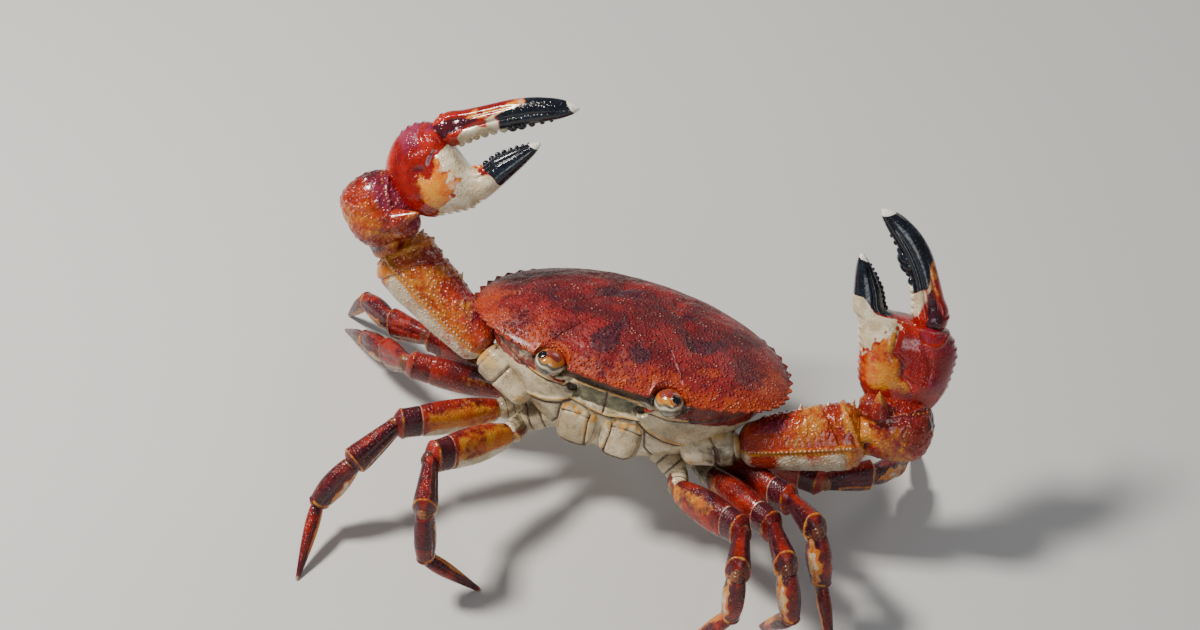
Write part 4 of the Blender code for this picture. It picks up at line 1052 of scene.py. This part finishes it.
def palm_piece(label):
    """Rings along the palm's line, whose sizes flow from wrist to finger tip, with folds, paint and teeth."""
    claw = CLAWS[label]
    _, towards, out = claw_axes(label)
    rings = palm_rings(label)
    marks = np.concatenate([[0], np.cumsum(np.linalg.norm(np.diff(rings[:, :2], axis=0), axis=1) + 0.012)])
    at = np.linspace(0, marks[-1], PALM_ROWS)
    u, v, half_height, half_width = flowing(at, marks, rings).T
    across, up = oblong(around(PALM_TURNS), 1.0, 1.0, 2.35)
    grid = in_palm(label, u, v)[:, None] + W * (
        (half_width[:, None] * across)[..., None] * out + (half_height[:, None] * up)[..., None] * towards)
    local_u, local_v = u[:, None], v[:, None] + half_height[:, None] * up
    out_way = unit(across[:, None] * out + up[:, None] * towards * 0.7)
    after_root = ((at - marks[ROOT_RING]) / (marks[-1] - marks[ROOT_RING]))[:, None]
    finger = np.clip(after_root, 0, 1)
    on_finger = rise(at, marks[GAPE_RING] - 0.01, marks[ROOT_RING] + 0.02)[:, None]
    on_palm = (1 - on_finger) * rise(local_u, 0.03, 0.10)
    cloud = waves(grid / W, 0.14, 21)
    g = local_u / claw["gape"]
    split = local_v - np.interp(g, *zip(*claw["divide"])) + 0.012 * cloud + 0.010 * waves(grid / W, 0.075, 44)
    fold = bell(split, -0.002, 0.014) * on_palm * rise(g, 0.15, 0.4)
    shoulder = (bell(local_v, 0.062, 0.045) + 0.5 * bell(local_v, -0.070, 0.035)) * on_palm
    keel = bell(np.abs(up), 1.0, 0.05) * on_palm * np.clip(np.sin(local_u * 260), 0, 1)
    flute = bell(up, 0.35, 0.12) * on_finger * (1 - rise(finger, 0.7, 0.9))
    from_hinge = np.hypot(local_u - claw["hinge"][0] + 0.01, local_v - claw["hinge"][1])
    cuff = bell(from_hinge, 0.053, 0.007) * on_palm * rise(g, 0.5, 0.7)
    furrow = bell(local_v + 0.010 * cloud, 0.038 + 0.034 * (1 - g), 0.013) * rise(g, 0.2, 0.6) * on_palm
    push = (0.007 * shoulder - 0.008 * fold + 0.004 * keel + 0.003 * cloud * on_palm - 0.006 * flute
            + 0.003 * cuff - 0.004 * furrow)
    grid = pushed(grid, out_way, W * push)
    rag = 0.07 * cloud + 0.05 * waves(grid / W, 0.035, 33) + 0.05 * waves(grid / W, 0.018, 71)
    toward_black = after_root + claw["slope"] * rise(up, -0.5, 0.9) + 0.02 * cloud
    black = rise(toward_black, 0.24, 0.29) * (at[:, None] > marks[LAST_PALM_RING])
    tip = rise(finger + 0.05 * up, 0.84, 0.89)
    white = rise(g + rag - np.interp(local_v, *zip(*claw["white"])), -0.09, 0.13)
    white = white * (1 - rise(toward_black, 0.14, 0.22) * rise(up + 0.3 * cloud, -0.1, 0.5))
    orange = rise(-split, -0.012, 0.022) * on_palm * (1.0 - 0.5 * rise(-up + 0.2 * cloud, 0.80, 1.0))
    facing = claw["face"] * across
    violet = (0.90 + 0.30 * cloud) * rise(split, 0.030, 0.075) * rise(facing, -0.6, 0.0) * on_palm
    gold = ((0.66 + 0.24 * cloud) * orange * (1 - 0.75 * white) + 0.25 * cuff) * (1 - black)
    # Painted shade: dark along the sunk fold between the lobes and in the furrow.
    dark = 0.6 * bell(split, 0.0, 0.02) * on_palm * rise(-cloud, 0, 0.5) + 0.20 * furrow
    parts = [form_of(grid, pale=0.95 * white * (1 - black), gold=gold, dark=dark, black=black * (1 - tip),
                     tip=tip, violet=claw["violet"] * violet * (1 - cuff))]
    first_row = np.searchsorted(at, marks[ROOT_RING] + 0.01)
    rows = np.linspace(first_row, LAST_TOOTH_ROW, len(FIXED_TEETH)).astype(int)
    column = int(np.argmax(up))
    for row, radius in zip(rows, FIXED_TEETH):
        dark_tooth = float(toward_black[row, column] > 0.27)
        parts += bead_forms([grid[row, column]], [radius * W], rows=10, turns=16, black=dark_tooth,
                            gold=1.0 - dark_tooth)
    return joined(parts)


# %% Movable finger
FINGER_ROWS, FINGER_TURNS = 240, 160
# Rings of the finger: share of its length, half height and half width.
FINGER_RINGS = np.array((
    (-0.06, 0.018, 0.018), (-0.04, 0.042, 0.036), (0.02, 0.052, 0.046), (0.16, 0.046, 0.043),
    (0.34, 0.042, 0.040), (0.54, 0.042, 0.037), (0.74, 0.037, 0.031), (0.90, 0.025, 0.021),
    (0.97, 0.013, 0.012), (1.0, 0.003, 0.003)))
# Teeth of the finger: share of its length and radius. A left claw's molar stands at MOLAR_AT.
FINGER_TEETH = ((0.08, 0.012), (0.14, 0.014), (0.20, 0.013), (0.27, 0.014), (0.34, 0.014), (0.42, 0.015),
                (0.49, 0.018), (0.56, 0.017), (0.64, 0.012), (0.72, 0.009), (0.79, 0.007))
MOLAR_AT = 0.525


def finger_line(label, share):
    """The movable finger's middle line: a straight chord bowed outward, most near its tip."""
    root, tip = np.array(CLAWS[label]["hinge"]), np.array(CLAWS[label]["tip"])
    chord = tip - root
    away = unit((-chord[1], chord[0]))
    bow = CLAWS[label]["bow"] * np.sin(np.pi * np.clip(share, 0, 1) ** 1.15)
    return root + chord * share[..., None] + away * bow[..., None]


def finger_piece(label):
    """The movable finger: rings square to its curved middle line, with blunt teeth on the gape side."""
    along, towards, out = claw_axes(label)
    s = np.linspace(-0.06, 1.0, FINGER_ROWS)
    half_height, half_width = flowing(s, FINGER_RINGS[:, 0], FINGER_RINGS[:, 1:]).T[..., None]
    on_line = np.clip(s, 0, 1)
    ahead, behind = np.minimum(on_line + 0.03, 1), np.maximum(on_line - 0.03, 0)
    run = unit(finger_line(label, ahead) - finger_line(label, behind))
    here = finger_line(label, on_line) + run * (np.minimum(s, 0) * 0.35)[:, None]
    square = (-run[:, 1:2]) * along + run[:, 0:1] * towards
    across, up = oblong(around(FINGER_TURNS), 1.0, 1.0, 2.2)
    s = s[:, None]
    flute = bell(up, -0.30, 0.14) * rise(s, 0.05, 0.2) * (1 - rise(s, 0.7, 0.9))
    flute = flute + 0.7 * bell(up, 0.45, 0.12) * (1 - rise(s, 0.4, 0.6))
    facing = CLAWS[label]["face"] * across
    hollow = bell(s, 0.10, 0.085) * rise(0.62 - np.abs(up - 0.15), 0, 0.5) * rise(facing, 0.0, 0.6)
    sideways = half_width * across * (1 - 0.14 * flute - 0.26 * hollow)
    upward = half_height * up * (1 - 0.10 * flute)
    grid = in_palm(label, here[:, 0], here[:, 1])[:, None] + W * (
        sideways[..., None] * out + upward[..., None] * square[:, None])
    cloud, fine = waves(grid / W, 0.1, 5), waves(grid / W, 0.040, 9)
    turn_black = CLAWS[label]["black"]
    ahead_of_black = s + 0.03 * cloud - 0.18 * rise(up, -0.1, 0.75) + 0.03 * rise(-up, 0.3, 1)
    red = 1 - rise(ahead_of_black, turn_black - 0.04, turn_black + 0.04)
    tip = rise(s + 0.03 * up, 0.925, 0.955)
    seam = bell(ahead_of_black, turn_black - 0.03, 0.05) * rise(up, -0.4, 0.2)
    lumps = rise(0.2 * cloud + 0.15 * fine - up - 0.9 * (1 - rise(s, 0.02, 0.14)), 0.0, 0.5) * red
    grey = bell(up, 0.0, 0.22) * red * rise(s, 0.10, 0.2)
    inner = bell(up, 0.12, 0.24) * (1 - rise(s, 0.24, 0.40))
    streak = red * bell(up + 0.2 * fine, 0.45, 0.24) * rise(s, 0.13, 0.26)
    # Painted shade: the dent on the outer face of the finger's base is painted dark and partly black.
    form = form_of(grid, black=(1 - red) * (1 - tip) + 0.35 * hollow * red, tip=tip,
                   gold=0.85 * streak + 0.6 * seam, pale=0.95 * lumps + 0.40 * seam + 0.25 * grey,
                   dark=red * (0.9 * hollow + 0.7 * inner))
    knuckle, ball = superball(60, 72, 2.2)
    hinge = in_palm(label, CLAWS[label]["hinge"][0] + 0.002, CLAWS[label]["hinge"][1])
    knuckle = hinge + (knuckle * KNUCKLE_HALF) @ np.stack([along, towards, out])
    parts = [form, form_of(knuckle, dark=0.9 - 0.8 * rise(ball[..., 1], 0.3, 0.7))]
    for place, radius in FINGER_TEETH:
        radius *= W * (1.0 + CLAWS[label]["molar"] * float(bell(place, MOLAR_AT, 0.045)))
        row = int(np.argmin(np.abs(s - place)))
        dark_tooth = float(place > turn_black)
        crown = grid[row, np.argmin(up)] + square[row] * 0.3 * radius
        parts += bead_forms([crown], [radius], rows=10, turns=16, black=dark_tooth, pale=1.0 - dark_tooth)
    return joined(parts)


for label in SIDES:
    placed(f"claw_{label}_palm_shell", palm_piece(label), CLAW, "claw", f"claw_{label}_palm")
    placed(f"claw_{label}_finger", finger_piece(label), CLAW, "finger", f"claw_{label}_dactyl")

# %% [markdown]
# ## Tail flap
# A crab's tail is a flat flap folded forward under the body. It is a strip of broad rings, bent round the
# back edge, with a shallow step where each ring of the tail meets the next.

# %% Tail flap
# Rings of the flap: place back to front, height, and half width, all in widths.
FLAP_RINGS = np.array(((0.305, -0.022, 0.118), (0.295, -0.040, 0.120), (0.288, -0.130, 0.120),
                       (0.262, -0.215, 0.115), (0.205, -0.300, 0.100), (0.110, -0.350, 0.075),
                       (0.000, -0.356, 0.045), (-0.018, -0.352, 0.012)))
FLAP_THICK, FLAP_STEP = 0.020, 0.0035
flap_at = np.linspace(0, len(FLAP_RINGS) - 1, 110)[:, None]
back, height, half_width = flowing(flap_at[:, 0], np.arange(len(FLAP_RINGS)), FLAP_RINGS).T[..., None]
run = unit(np.gradient(np.hstack([back, height]), axis=0))
across, up = oblong(around(72), 1.0, 1.0, 2.8)
bands = FLAP_STEP * np.abs(np.sin(flap_at * np.pi * 0.95)) ** 0.5
thick = FLAP_THICK * np.sqrt(np.clip(1 - np.abs(2 * flap_at / flap_at[-1] - 1) ** 14, 0.02, 1)) + bands
flap = np.stack([half_width * across, back - run[:, 1:] * thick * up, height + run[:, :1] * thick * up], -1)
flap = form_of(on_body(flap), line=0.5 * bell(bands, 0, 0.0008), gold=0.3 * bell(across, 0, 0.3))
placed("tail_flap", flap, UNDER, "cream", "abdomen")

# %% [markdown]
# ## Floor, light and camera
# A plain pale floor and soft studio light let the shell's own colours show. The main lamp stands high on the
# crab's right, a broad weak one fills from the front, and a weaker one behind picks out the rear edges. The
# camera looks down on the front of the crab.

# %% Floor
FLOOR_HALF = 3
corners = [(-FLOOR_HALF, -FLOOR_HALF, 0), (FLOOR_HALF, -FLOOR_HALF, 0), (FLOOR_HALF, FLOOR_HALF, 0),
           (-FLOOR_HALF, FLOOR_HALF, 0)]
floor_mesh = bpy.data.meshes.new("floor")
floor_mesh.from_pydata(corners, [], [(0, 1, 2, 3)])
floor = linked("floor", floor_mesh)
plaster = bpy.data.materials.new("pale floor")
plaster.use_nodes = True
plaster_inputs = plaster.node_tree.nodes["Principled BSDF"].inputs
plaster_inputs["Base Color"].default_value = (0.60, 0.59, 0.57, 1.0)
plaster_inputs["Roughness"].default_value = 0.8
floor_mesh.materials.append(plaster)


# %% Lamps
def lamp(name, place, aim, power, size, colour):
    """A square soft lamp at place, facing aim, with its power in watts and its size in metres."""
    light = bpy.data.lights.new(name, "AREA")
    light.energy, light.size, light.color = power, size, colour
    holder = linked(name, light)
    holder.location = place
    holder.rotation_euler = (Vector(aim) - Vector(place)).to_track_quat("-Z", "Y").to_euler()


lamp("key", (-0.55, -0.10, 0.85), (0, 0, 0.06), 15.0, 0.16, (1.0, 0.96, 0.90))
lamp("fill", (0.50, -0.95, 0.55), (0, 0, 0.05), 2.6, 0.45, (0.93, 0.96, 1.0))
lamp("back", (0.35, 0.80, 0.60), (0, 0, 0.06), 1.4, 0.5, (1.0, 0.98, 0.95))
world = bpy.data.worlds.new("studio")
world.use_nodes = True
sky_inputs = world.node_tree.nodes["Background"].inputs
sky_inputs["Color"].default_value = (0.80, 0.84, 0.90, 1.0)
sky_inputs["Strength"].default_value = 0.22
bpy.context.scene.world = world

# %% Camera
VIEW_FROM, VIEW_RISE, VIEW_ROLL = math.radians(16.95), math.radians(47.0), math.radians(2.88)
VIEW_FAR = 7.19 * W
LENS_MM, SENSOR_MM = 70.0, 36.0
SHIFT_X, SHIFT_Y = -0.029333, 0.018608
back_way = np.array((math.sin(VIEW_FROM) * math.cos(VIEW_RISE), -math.cos(VIEW_FROM) * math.cos(VIEW_RISE),
                     math.sin(VIEW_RISE)))
right_way = np.array((math.cos(VIEW_FROM), math.sin(VIEW_FROM), 0.0))
up_way = np.cross(back_way, right_way)
rolled_right = right_way * math.cos(VIEW_ROLL) + up_way * math.sin(VIEW_ROLL)
rolled_up = up_way * math.cos(VIEW_ROLL) - right_way * math.sin(VIEW_ROLL)
camera_data = bpy.data.cameras.new("camera")
camera_data.lens, camera_data.sensor_width = LENS_MM, SENSOR_MM
camera_data.shift_x, camera_data.shift_y = SHIFT_X, SHIFT_Y
camera_data.clip_start, camera_data.clip_end = 0.05, 20.0
camera = linked("camera", camera_data)
place = BODY_PLACE + back_way * VIEW_FAR
turned = Matrix(np.stack([rolled_right, rolled_up, back_way], 1).tolist()).to_4x4()
camera.matrix_world = Matrix.Translation(Vector(place)) @ turned
bpy.context.scene.camera = camera
print("camera at", place.round(3))
